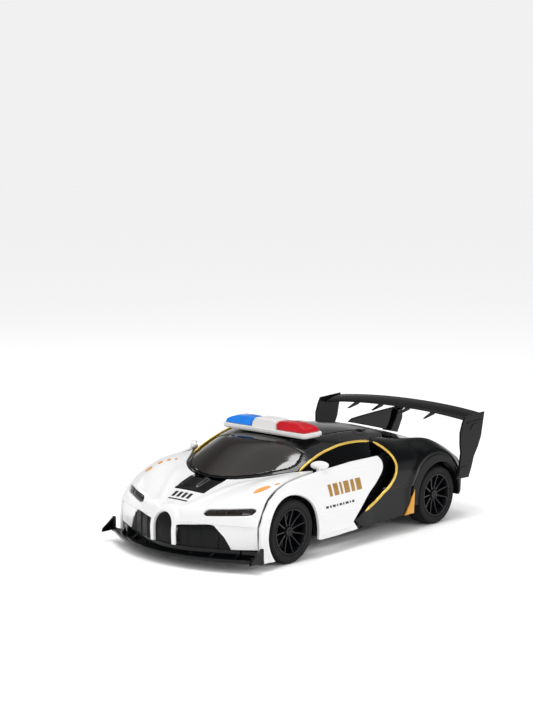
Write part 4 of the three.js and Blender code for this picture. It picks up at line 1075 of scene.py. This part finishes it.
# %% [markdown]
# ## Rear wing
# A full-width blade stands on a central fin and on two end plates. The blade has an aerofoil
# section, sweeps down towards its ends and carries four small gussets on its underside.

# %% Wing
def wing_middle(y):
    return -118.5 + 1.5 * (y / 64) ** 2, 72.6 - 3.4 * (abs(y) / 63.4) ** 2.2


WING_SECTION = [(-6.4, -1.1), (-6.3, 0.9), (-5.9, 1.5), (-4.6, 1.35), (-3, 1.15), (0, 1.15), (4, 0.55), (8, -0.4), (11.6, -1.35),
                (12.3, -1.75), (12.2, -2.25), (11.4, -2.4), (8, -2.0), (3, -1.55), (-2, -1.35)]


def wing_blade(stations=90):
    bm = bmesh.new()
    rings = []
    for k in range(stations + 1):
        y = -63.4 + 126.8 * k / stations
        cx, cz = wing_middle(y)
        rings.append([bm.verts.new((cx + a, y, cz + b)) for a, b in WING_SECTION])
    for one, two in zip(rings, rings[1:]):
        for k in range(len(one)):
            bm.faces.new((one[k - 1], one[k], two[k], two[k - 1]))
    bm.faces.new(rings[0])
    bm.faces.new(rings[-1][::-1])
    bmesh.ops.recalc_face_normals(bm, faces=bm.faces)
    return bm


gussets = []
for y in (-34, -12, 12, 34):
    height = wing_middle(y)[1]
    gussets.append(plate([(-113, height - 0.4), (-106, height - 1.6), (-98, height - 4.6), (-96.2, height - 5.4), (-97.6, height - 5.6),
                          (-108, height - 3.8)], y - 0.8, y + 0.8, "y"))
wing = piece("wing", merged(wing_blade(), *gussets), BLACK, "base", ["wing_blade"], sharp=32)
soften(wing, 0.25, angle=45)

ENDPLATE = [(-124.6, 71.5), (-102, 70.5), (-99.4, 66), (-97, 60), (-97, 52), (-98, 46), (-96.6, 38), (-95.5, 34), (-93, 28.5),
            (-107, 28), (-110, 34), (-113, 42), (-117.4, 48), (-121, 55)]
SLOT = [(-117.6, 64.6), (-110.4, 64.6), (-107.6, 60.8), (-114.6, 60.8)]
for side_name, sign in (("left", 1), ("right", -1)):
    end_wall = plate(ENDPLATE, sign * 64.1, sign * 65.5, "y")
    rib = plate([(-121.6, 66.8), (-104, 66.2), (-104.4, 65.2), (-121.4, 65.8)], sign * 65.4, sign * 65.95, "y")
    frame_rib = plate(SLOT, sign * 65.4, sign * 65.9, "y")
    foot = plate([(-96, 36.4), (-105, 36.4), (-107.6, 30), (-95, 30)], sign * 65.4, sign * 65.95, "y")
    plate_obj = piece(f"wing_end_{side_name}", merged(end_wall, rib, frame_rib, foot), SATIN, "base",
                      [f"wing_endplate_{side_name}"])
    soften(plate_obj, 0.3, angle=40)

# The fin runs along the deck and swells into a post under the blade.
FIN_EDGE = [(-56, 65.2), (-60, 67.4), (-74, 68.4), (-88, 69.2), (-98, 69.6), (-106.6, 69.9), (-118, 70.6), (-118, 68), (-113, 65.4),
            (-110, 62), (-108, 56.6), (-106.5, 52), (-92, 56.4), (-76, 60.4), (-62, 63.8)]
fin = plate(FIN_EDGE, -1.3, 1.3, "y")
for vert in fin.verts:
    vert.co.y *= 1 - 0.35 * smooth(np.array([vert.co.z]), 62, 70)[0]
post = plate([(-106.5, 52), (-98, 54.2), (-102, 59), (-104, 62), (-106.8, 68.6), (-112, 69), (-112, 62)], -3.9, 3.9, "y")
pylon = piece("wing_pylon_moulded", merged(fin, post), BLACK, "base", ["wing_pylon"])
soften(pylon, 0.5, segments=3, angle=40)


# %% [markdown]
# ## Tail
# The tail is a dark panel with a light strip right across it, two vent openings and a diffuser
# of upright fins.

# %% Tail panel
TAIL = [(-57, 18.5), (-57.4, 33), (-54, 39), (-46, 42.6), (-36, 44.4), (0, 46), (36, 44.4), (46, 42.6), (54, 39), (57.4, 33),
        (57, 18.5), (44, 13), (-44, 13)]
TAIL_STRIP = [(-52, 34.2), (-44, 37.4), (-30, 39.2), (0, 40.4), (30, 39.2), (44, 37.4), (52, 34.2), (52, 32.2), (44, 35.2), (30, 37),
              (0, 38.2), (-30, 37), (-44, 35.2), (-52, 32.2)]
parts = [plate(TAIL, -107.6, -105.9, "x")]
for sign in (-1, 1):
    parts.append(plate([(sign * 12, 18), (sign * 30, 18), (sign * 34, 25), (sign * 14, 25)], -108.2, -107.5, "x"))
    parts += [block((-109, -107.5), sorted((sign * y, sign * (y + 0.9))), (18, 25)) for y in (15, 19, 23, 27)]
parts += [block((-109.6, -107.4), (y - 0.6, y + 0.6), (13, 17.6)) for y in (-36, -27, -18, -9, 0, 9, 18, 27, 36)]
parts.append(block((-108.8, -107.4), (-10, 10), (19, 27.5)))
tail = piece("tail", merged(*parts), SATIN, "base", ["tail_panel"])
soften(tail, 0.3, angle=40)
strip_light = piece("tail_light", plate(TAIL_STRIP, -108.3, -107.4, "x"), RED, "base")
soften(strip_light, 0.3, angle=40)
for side_name, sign in (("left", 1), ("right", -1)):
    pipe = merged(inset_ring((0, 0), 3.2, 2.5, -1.6, 1.4, 40), rod((0, -0.6, 0), (0, -1.5, 0), 2.6))
    bmesh.ops.rotate(pipe, verts=pipe.verts, cent=(0, 0, 0), matrix=Matrix.Rotation(-pi / 2, 3, "Z"))
    bmesh.ops.scale(pipe, vec=(1, 1.5, 1), verts=pipe.verts)
    bmesh.ops.translate(pipe, vec=(-108.2, sign * 40, 22), verts=pipe.verts)
    piece(f"tail_pipe_{side_name}", pipe, SILVER, "base")


# %% [markdown]
# ## The robot's body
# Under the roof lies the robot, face down. Its armour is a set of faceted plates with painted
# faces. Each plate is a fine grid whose depth follows a few sloping planes, cut to its outline,
# so the facets stay crisp and the colours meet along the edges.

# %% Armour plates
def armour(name, half, depth, material, replaces=(), wall=2.2, mirror=True, step=0.45):
    """A faceted plate facing down. half is its outline at y >= 0; depth(x, y) is its face's height."""
    outline = np.array(half)
    x0, x1, y1 = outline[:, 0].min() - 1, outline[:, 0].max() + 1, outline[:, 1].max() + 1
    y0 = -y1 if mirror else outline[:, 1].min() - 1
    bm = bmesh.new()
    bmesh.ops.create_grid(bm, x_segments=int((x1 - x0) / step), y_segments=int((y1 - y0) / step), size=0.5)
    for vert in bm.verts:
        vert.co = Vector((x0 + (vert.co.x + 0.5) * (x1 - x0), y0 + (vert.co.y + 0.5) * (y1 - y0), 0))
    trim(bm, lambda p: -polygon(half, p[:, 0], np.abs(p[:, 1]) if mirror else p[:, 1]))
    points = np.array([v.co for v in bm.verts])
    for vert, z in zip(bm.verts, depth(points[:, 0], np.abs(points[:, 1]))):
        vert.co.z = z
    bmesh.ops.recalc_face_normals(bm, faces=bm.faces)
    if sum(f.normal.z for f in bm.faces) > 0:
        bmesh.ops.reverse_faces(bm, faces=bm.faces)
    return thick(piece(name, bm, material, "roof", replaces, sharp=22), wall, edge=0.25)


def groove(value, width=0.5, deep=0.5):
    """A narrow step in height where value crosses zero."""
    return deep * (1 - smooth(np.abs(value), width * 0.5, width))


CHEST_BASE = [(57, 0), (57, 20), (50, 25.8), (34, 24), (27, 16), (20, 7), (20, 0)]
armour("chest_base", CHEST_BASE, lambda x, y: 18.6 + 0.0045 * y ** 2 + 0.6 * smooth(x, 50, 57), BLACK,
       ["chest_armour"], wall=6)
COLLAR = [(56.8, 4.4), (56.8, 13), (55, 20.5), (48.6, 24.6), (43.6, 15.2), (47, 13), (52, 15), (54.4, 4.4)]
armour("collar", COLLAR, lambda x, y: 16.6 + 0.07 * y - 0.5 * smooth(x, 46, 54) + groove(x - 52 - 0.1 * y), SILVER)
CREST = [(54, 0), (54, 3.4), (52, 13.8), (44.4, 11), (36, 4.4), (30.4, 0)]
armour("chest_crest_gem", CREST, lambda x, y: 12.8 + 0.25 * y + 0.08 * np.maximum(42 - x, 0) + 0.16 * np.maximum(x - 49, 0), GOLD,
       ["chest_crest"], wall=2.6)
CHEVRON = [(43.2, 12.2), (45.4, 17.6), (39.6, 18.4), (37, 13.4), (30, 9.2), (23.8, 4.2), (23.8, 0), (29.4, 0), (35.2, 5.2)]
armour("silver_chevron", CHEVRON, lambda x, y: 15.2 + 0.11 * y + 0.5 * smooth(30 - x, 0, 0.6) - 0.4 * (1 - smooth(y, 1.2, 2)), SILVER,
       wall=3)
TRIM = [(39, 19.2), (36.4, 20), (34.6, 14.8), (27.6, 10.6), (20.2, 5.6), (20.2, 0), (23, 0), (23, 4.8), (29.6, 9.9), (36.4, 14)]
armour("gold_chevron", TRIM, lambda x, y: 16.5 + 0.07 * y, GOLD, wall=2)
WAIST = [(17, 0), (17, 5), (14.6, 12), (13.4, 20), (5.6, 21.6), (3.6, 16), (-1.5, 10), (-6.5, 5), (-9, 0)]


def waist_depth(x, y):
    keel = 15.9 + 0.2 * y + 0.03 * (x + 9)
    above_edge = x + 3 - 0.73 * (y - 11)
    wing_side = 18.6 - 0.8 * smooth(above_edge, 4, 4.5) - 0.8 * smooth(above_edge, 8.4, 8.9)
    return np.where(y < 6.2 + 0.14 * x, keel, wing_side)


armour("waist", WAIST, waist_depth, SILVER, ["waist_armour"], wall=5)
PELVIS = [(-3.5, 0), (-3.5, 3.4), (-6.5, 5.6), (-12, 6), (-17, 3.8), (-18.6, 0)]
armour("pelvis", PELVIS, lambda x, y: 17.2 + 0.24 * y - 0.3 * smooth(x, -17, -12), GOLD, wall=5.5)
THIGH = [(-1.4, 15), (-4, 22.8), (-12, 22.4), (-20, 21), (-23.6, 15.4), (-17, 11.6), (-12, 9.2), (-6, 11)]
for side_name, sign in (("left", 1), ("right", -1)):
    half = [(x, sign * y) for x, y in THIGH]
    ribs = lambda x, y: 18.0 + 0.9 * smooth(np.abs(((x + 0.35 * y) / 3.1) % 1 - 0.5), 0.3, 0.42) * (y > 13.5) + 0.06 * np.abs(y - 15)
    armour(f"thigh_{side_name}", half, ribs, GOLD, [f"thigh_plate_{side_name}"], wall=4, mirror=False, step=0.3)
    shin = [block((-51, -25), sorted((sign * 7.8, sign * 21.8)), (20.2, 25.6))]
    for k in range(4):
        a = -25 - 6.4 * k
        segment = plate([(a, sign * 8.2), (a, sign * 21.6), (a - 5.9, sign * 22.8), (a - 5.9, sign * 7.2)], 15.5 + 0.5 * k, 22, "z")
        for vert in segment.verts:
            if vert.co.z < 20:
                vert.co.y = sign * 15 + (vert.co.y - sign * 15) * 0.74
                vert.co.z += 0.7 if vert.co.x > a - 1 else 0
        shin.append(segment)
    shin_obj = piece(f"shin_{side_name}", merged(*shin), SILVER, "roof", [f"shin_armour_{side_name}"])
    soften(shin_obj, 0.45, segments=2, angle=30)


# %% [markdown]
# The black core carries the armour. It has two legs, a chest block with domed shoulders, and two
# arms that reach forward to the hinge pins of the nose. Steps and ribs along the legs break up
# the sides the way a toy's screw-together shell does.

# %% Robot core
core = []
CORE_HALF = [(60, 0), (60, 30), (20, 30), (12, 17), (-8, 17), (-14, 25), (-52, 25), (-53, 3), (-30, 3), (-30, 0)]
core_plan = CORE_HALF + [(x, -y) for x, y in CORE_HALF[-2:0:-1]]
core.append(plate(core_plan, 26.2, 47.8, "z"))
for sign in (-1, 1):
    s = sign
    arm_side = [(58, 27), (90, 27.8)] + [(92 + 4.4 * cos(t), 32 + 4.4 * sin(t)) for t in np.linspace(-1.3, 1.3, 17)]
    core.append(plate(arm_side + [(90, 36.2), (58, 36.4)], sorted((s * 14.6, s * 19.4))[0], sorted((s * 14.6, s * 19.4))[1], "y"))
    core.append(rod((92, s * 13.6, 32), (92, s * 25.8, 32), 1.7))
    core.append(rod((92, s * 13.8, 32), (92, s * 14.7, 32), 3.2))
    core.append(sphere((39, s * 28.3, 27), (12.4, 5.0, 7.4)))
    core.append(block((27, 51), sorted((s * 29.6, s * 33.2)), (27, 43.6)))
    for x in (30, 34, 38, 42, 46):
        core.append(block((x, x + 1.6), sorted((s * 32.6, s * 33.4)), (30, 42)))
    core.append(rod((54, s * 28, 26.4), (54, s * 28, 24.8), 2.4))
    for x in (-49, -44, -39, -34, -29, -24):
        core.append(block((x, x + 2.6), sorted((s * 24.6, s * 25.6)), (28, 45)))
    core.append(block((-22, 8), sorted((s * 12.4, s * 16.6)), (22.4, 26.8)))
    core.append(block((60 - 0.2, 60.8), sorted((s * 4, s * 12)), (29, 33)))
    core.append(rod((-10, s * 21, 30), (-10, s * 17.4, 30), 3))
core.append(block((-10, 14), (-6, 6), (20.6, 26.6)))
core.append(block((-16, -9), (-3, 3), (22, 26.6)))
core_obj = piece("robot_core", merged(*core), SATIN, "roof", ["torso_core"])
soften(core_obj, 0.5, segments=2, angle=40)


# %% [markdown]
# The head is a smooth helmet with a brow, a dark visor and two cheek plates on a short neck. It
# stays a general shape on purpose. It slides up through the vent in the hood.

# %% Head
HEAD_AT = Vector((91.6, 0, 18.8))
SKULL = [(0, 0.2), (6.2, 0.3), (8.3, 1.6), (9.1, 4), (9.4, 8), (9.2, 11.6), (8.3, 15), (6.4, 17.9), (4, 19.6), (1.6, 20.1), (0, 20.15)]
helmet = spun([(r, -h) for r, h in outline_of(SKULL, 60)], 96)
bmesh.ops.rotate(helmet, verts=helmet.verts, cent=(0, 0, 0), matrix=Matrix.Rotation(-pi / 2, 3, "X"))
for vert in helmet.verts:
    x, y, z = vert.co
    front = smooth(np.array([x]), 1.5, 6)[0]
    visor = smooth(np.array([abs(z - 11.2)]), 2.2, 1.3)[0] * smooth(np.array([abs(y)]), 7.6, 6.4)[0]
    cheek = smooth(np.array([6.5 - z]), 0, 1)[0] * smooth(np.array([abs(y)]), 4.2, 2.8)[0]
    brow = 0.8 * np.exp(-((z - 14.2) / 0.8) ** 2)
    vert.co.x = (x - front * (1.5 * visor + 1.1 * cheek - brow * 0.5)) * 0.68
bmesh.ops.translate(helmet, vec=HEAD_AT, verts=helmet.verts)
bmesh.ops.recalc_face_normals(helmet, faces=helmet.faces)
piece("helmet", helmet, BLACK, "head", ["robot_head"], sharp=50)
crest = plate([(-5.6, 13), (-4.4, 17), (-1, 20), (2.6, 19.6), (5, 17), (5.6, 14.4), (4, 16), (0, 18.6), (-3.4, 16)], -0.9, 0.9, "y")
bmesh.ops.translate(crest, vec=HEAD_AT, verts=crest.verts)
soften(piece("helmet_crest", crest, BLACK, "head"), 0.3)
eyes = sphere((95.0, 0, 30.0), (1.6, 6.0, 1.4), 16, 32)
piece("visor", eyes, SMOKE, "head")
ears = [rod((91.6, s * 8.9, 28.4), (91.6, s * 9.75, 28.4), 2.2) for s in (-1, 1)]
neck = [rod((91.6, 0, 10.4), (91.6, 0, 19.4), 3.1), block((88.3, 94.9), (-9.6, 9.6), (10.4, 13.2))]
neck += [block((90.4, 92.8), (-5.4, -4.2), (13, 19)), block((90.4, 92.8), (4.2, 5.4), (13, 19))]
soften(piece("neck", merged(*neck, *ears), SATIN, "head"), 0.35, angle=40)


# %% [markdown]
# ## Frames and links
# These are the working parts that show when the robot stands: the cross frame in the nose, the
# swinging arms and the hinge towers. All are textured black mouldings with rounded edges, screw
# heads where the parts are held together, and ribs where a moulding would need them.

# %% Nose frame and arms
def screw(at, axis, radius=1.9):
    """A pan-head screw with a cross slot, standing out along axis."""
    out = Vector(axis)
    head = rod(Vector(at), Vector(at) + out * 0.8, radius, 24)
    flats = [v for v in head.verts if (v.co - Vector(at)).dot(out) > 0.4]
    bmesh.ops.scale(head, vec=(0.78,) * 3, space=Matrix.Translation(-(Vector(at) + out * 0.8)), verts=flats)
    across = out.orthogonal().normalized()
    bars = []
    for way in (across, out.cross(across)):
        bar = block((-radius * 0.6, radius * 0.6), (-0.16, 0.16), (0.62, 0.9))
        turn = Matrix((way, out.cross(way), out)).transposed().to_4x4()
        bmesh.ops.transform(bar, matrix=Matrix.Translation(Vector(at)) @ turn, verts=bar.verts)
        bars.append(bar)
    return head, bars


def screws(name, places, axis, body, radius=1.9):
    made = [screw(at, axis, radius) for at in places]
    piece(name, merged(*[head for head, _ in made]), STEEL, body)
    piece(name + "_slots", merged(*[bar for _, pair in made for bar in pair]), FRAME, body)


FRAME_HALF = [(97, 11.2), (97, 30), (92, 42), (80, 43), (69.4, 34), (68.4, 26), (74, 22), (77.6, 14), (78, 11.2)]
parts = [block((78, 82.8), (-11.6, 11.6), (37.5, 39))]
for s in (-1, 1):
    parts.append(plate([(x, s * y) for x, y in FRAME_HALF], 37.5, 39, "z"))
    parts.append(plate([(84, 38), (86, 28), (92, 25.2), (98, 28), (97, 38)], *sorted((s * 20.4, s * 24.2)), "y"))
    parts.append(rod((85, s * 37, 17.4), (85, s * 37, 37.8), 1.7))
    parts.append(block((84, 98), sorted((s * 11.5, s * 13.1)), (20, 38)))
    parts.append(block((95.2, 103.4), sorted((s * 26.2, s * 28.8)), (33.2, 36.4)))
    parts.append(block((100.8, 103.4), sorted((s * 25.8, s * 29.2)), (9.6, 35)))
    parts.append(block((100.8, 110.8), sorted((s * 25.8, s * 29.2)), (9.6, 11.2)))
    parts += [block((74, 96), sorted((s * y, s * (y + 1.1))), (35.9, 37.7)) for y in (27, 32.6)]
    parts += [block((x, x + 1.1), sorted((s * 24, s * 41)), (36.2, 37.7)) for x in (79.2, 91)]
    parts.append(inset_ring((92, 32), 4.2, 2.1, *sorted((s * 24.1, s * 24.9)), 40))
soften(piece("nose_cross_frame", merged(*parts), FRAME, "nose", ["nose_frame"]), 0.3, angle=40)

ARM_FROM, ARM_TO = Vector((85, 37, 0)), Vector((51.1, 40, 0))
run = (ARM_TO - ARM_FROM)
for side_name, sign in (("left", 1), ("right", -1)):
    long, lean = run.length, atan2(run.y, run.x)
    outline = [(3.5 * cos(t), 3.5 * sin(t)) for t in np.linspace(pi / 2, 3 * pi / 2, 17)]
    outline += [(long + 3.5 * cos(t), 3.5 * sin(t)) for t in np.linspace(-pi / 2, pi / 2, 17)]
    bar = plate(outline, 19.2, 35.4, "z")
    ribs = [block((a, a + 1), (-4.0, 4.0), (20.4, 34.2)) for a in (7, 12.4, 17.8, 23.2, long - 7)]
    caps = [rod((a, 0, low), (a, 0, low + 0.5), 2.9) for a in (0, long) for low in (18.9, 35.2)]
    link = merged(bar, *ribs, *caps)
    bmesh.ops.rotate(link, verts=link.verts, cent=(0, 0, 0), matrix=Matrix.Rotation(lean, 3, "Z"))
    bmesh.ops.translate(link, vec=ARM_FROM, verts=link.verts)
    if sign < 0:
        link = mirrored(link)
    soften(piece(f"swing_arm_{side_name}", link, SATIN, f"arm_{side_name}", [f"arm_link_{side_name}"]), 0.4, angle=40)


# %% [markdown]
# The towers carry the roof's hinge pin at the height of the rear deck, and a scoop on each side
# fills the corner between the deck and the tower.

# %% Hinge towers and side scoops
tower_side = [(-52, 7.9), (-32, 7.9), (-35, 40), (-38, 57), (-42.6, 55.4), (-42.9, 50), (-46, 36)]
parts = [plate([(-52, -35.2), (-32, -35.2), (-32, 35.2), (-52, 35.2)], 7.9, 9.2, "z")]
for s in (-1, 1):
    low, high = sorted((s * 35.5, s * 39.5))
    parts += [plate(tower_side, low, high, "y"), rod((-41, low, 58), (-41, high, 58), 3.1, 40),
              block((-49, -36), sorted((s * 34.4, s * 35.8)), (7.9, 20)), block((-42.2, -40.6), sorted((s * 39.3, s * 40.1)), (14, 50))]
    parts += [block((-48 + 2 * k, -46.6 + 2 * k), sorted((s * 39.3, s * 40)), (12 + 3 * k, 30 + 4 * k)) for k in range(2)]
soften(piece("hinge_towers", merged(*parts), FRAME, "base", ["hinge_frame"]), 0.4, angle=40)

outer = outline_of([(x - 1, z - 0.5) for x, z in SIDE_LINE])
inner = outline_of([(x + 5, z + 1) for x, z in DOOR_REAR])[::-1]
scoop_outline = [(x, min(max(z, 15), 53.8)) for x, z in outer + inner]
for side_name, sign in (("left", 1), ("right", -1)):
    scoop = plate(scoop_outline, *sorted((sign * 53.5, sign * 55.1)), "y")
    fins = [block((-24 + 5 * k, -22.8 + 5 * k), sorted((sign * 54.8, sign * 56.4)), (40 - 4 * k, 52 - 5.6 * k)) for k in range(4)]
    soften(piece(f"scoop_{side_name}", merged(scoop, *fins), SATIN, "base", [f"side_scoop_{side_name}"]), 0.3, angle=40)


# %% [markdown]
# ## Underside
# The chassis is a black tray with moulded ribs, a battery door with arrow ridges and a thumb
# latch, four screws and two small rollers that carry the nose.

# %% Chassis
PAN = [(-105, -41), (-98, -46), (-56, -46), (-50, -41), (44, -38), (44, 38), (-50, 41), (-56, 46), (-98, 46), (-105, 41)]
pan_bm = plate([(44, -37.6), (44, 37.6), (-50, 40.8), (-53, 43), (-99, 43), (-105, 41), (-105, -41), (-99, -43), (-53, -43),
                (-50, -40.8)], 5.2, 7.4, "z")
parts = [pan_bm]
for s in (-1, 1):
    parts.append(block((-31, 42), sorted((s * 36.1, s * 37.7)), (7, 10.1)))
    parts += [block((-49, -26), sorted((s * y, s * (y + 1))), (4.7, 5.4)) for y in (8, 16, 24, 32)]
    parts += [block((x, x + 1), sorted((s * 6, s * 34)), (4.7, 5.4)) for x in (-12, -2, 8, 18)]
    parts += [rod((x, s * 33, 5.4), (x, s * 33, 4.4), 3.4) for x in (-50, 28)]
    parts += [block((28.4, 29.4), sorted((s * 14.6, s * 25.4)), (4.4, 5.4)), block((38.6, 39.6), sorted((s * 14.6, s * 25.4)), (4.4, 5.4))]
parts.append(plate([(-24.4, -5), (-15.6, -5), (-14.6, -4), (-14.6, 4), (-15.6, 5), (-24.4, 5), (-25.4, 4), (-25.4, -4)], 4.6, 5.4, "z"))
soften(piece("chassis", merged(*parts), SATIN, "base", ["floor_pan"]), 0.3, angle=40)
screws("chassis_screws", [(x, s * 33, 4.4) for x in (-50, 28) for s in (-1, 1)], (0, 0, -1), "base")

parts = [block((-104, -89), (-26.8, 26.8), (3.6, 4.7))]
parts += [plate([(-102, y), (-98, y + 2.4), (-91, y + 2.4), (-91, y + 1.2), (-97.4, y + 1.2), (-100.4, y - 0.6)], 3.4, 3.8, "z")
          for y in (-18, -12, -6, 0, 6, 12, 18)]
parts.append(block((-91.6, -90), (-8, 8), (3.4, 3.8)))
soften(piece("battery_door", merged(*parts), FRAME, "base", ["battery_cover"]), 0.25, angle=40)

roller = [rod((34, s * 17.4, 4), (34, s * 22.6, 4), 4, 48) for s in (-1, 1)] + [rod((34, -23.9, 4), (34, 23.9, 4), 0.9)]
soften(piece("rollers", merged(*roller), TYRE, "casters", ["caster_rollers"]), 0.5, angle=40)
knob = [block((-24, -19), (-2.2, 2.2), (3.8, 8.2)), block((-26, -17), (-4, 4), (7.9, 9.3))]
knob += [block((-23.6 + 1.2 * k, -23 + 1.2 * k), (-2.2, 2.2), (3.7, 4)) for k in range(4)]
soften(piece("switch_knob", merged(*knob), RIM, "power_switch", ["power_switch"]), 0.25, angle=40)


# %% [markdown]
# ## Parts carried over
# The gearbox, motors, cells and board are seen only in glimpses, so their CAD solids stay, and
# each gets the finish of the real part.

# %% Finishes of the carried-over solids
KEPT = {"gearbox_case": FRAME, "drive_motor_left": STEEL, "drive_motor_right": STEEL, "lift_gearbox": FRAME,
        "battery_pack": WRAP, "control_board": BOARD, "rear_axle_left": STEEL, "rear_axle_right": STEEL,
        "motor_pinion_left": GOLD_LINE, "motor_pinion_right": GOLD_LINE}
for name, material in KEPT.items():
    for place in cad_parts[name].material_slots:
        place.material = material
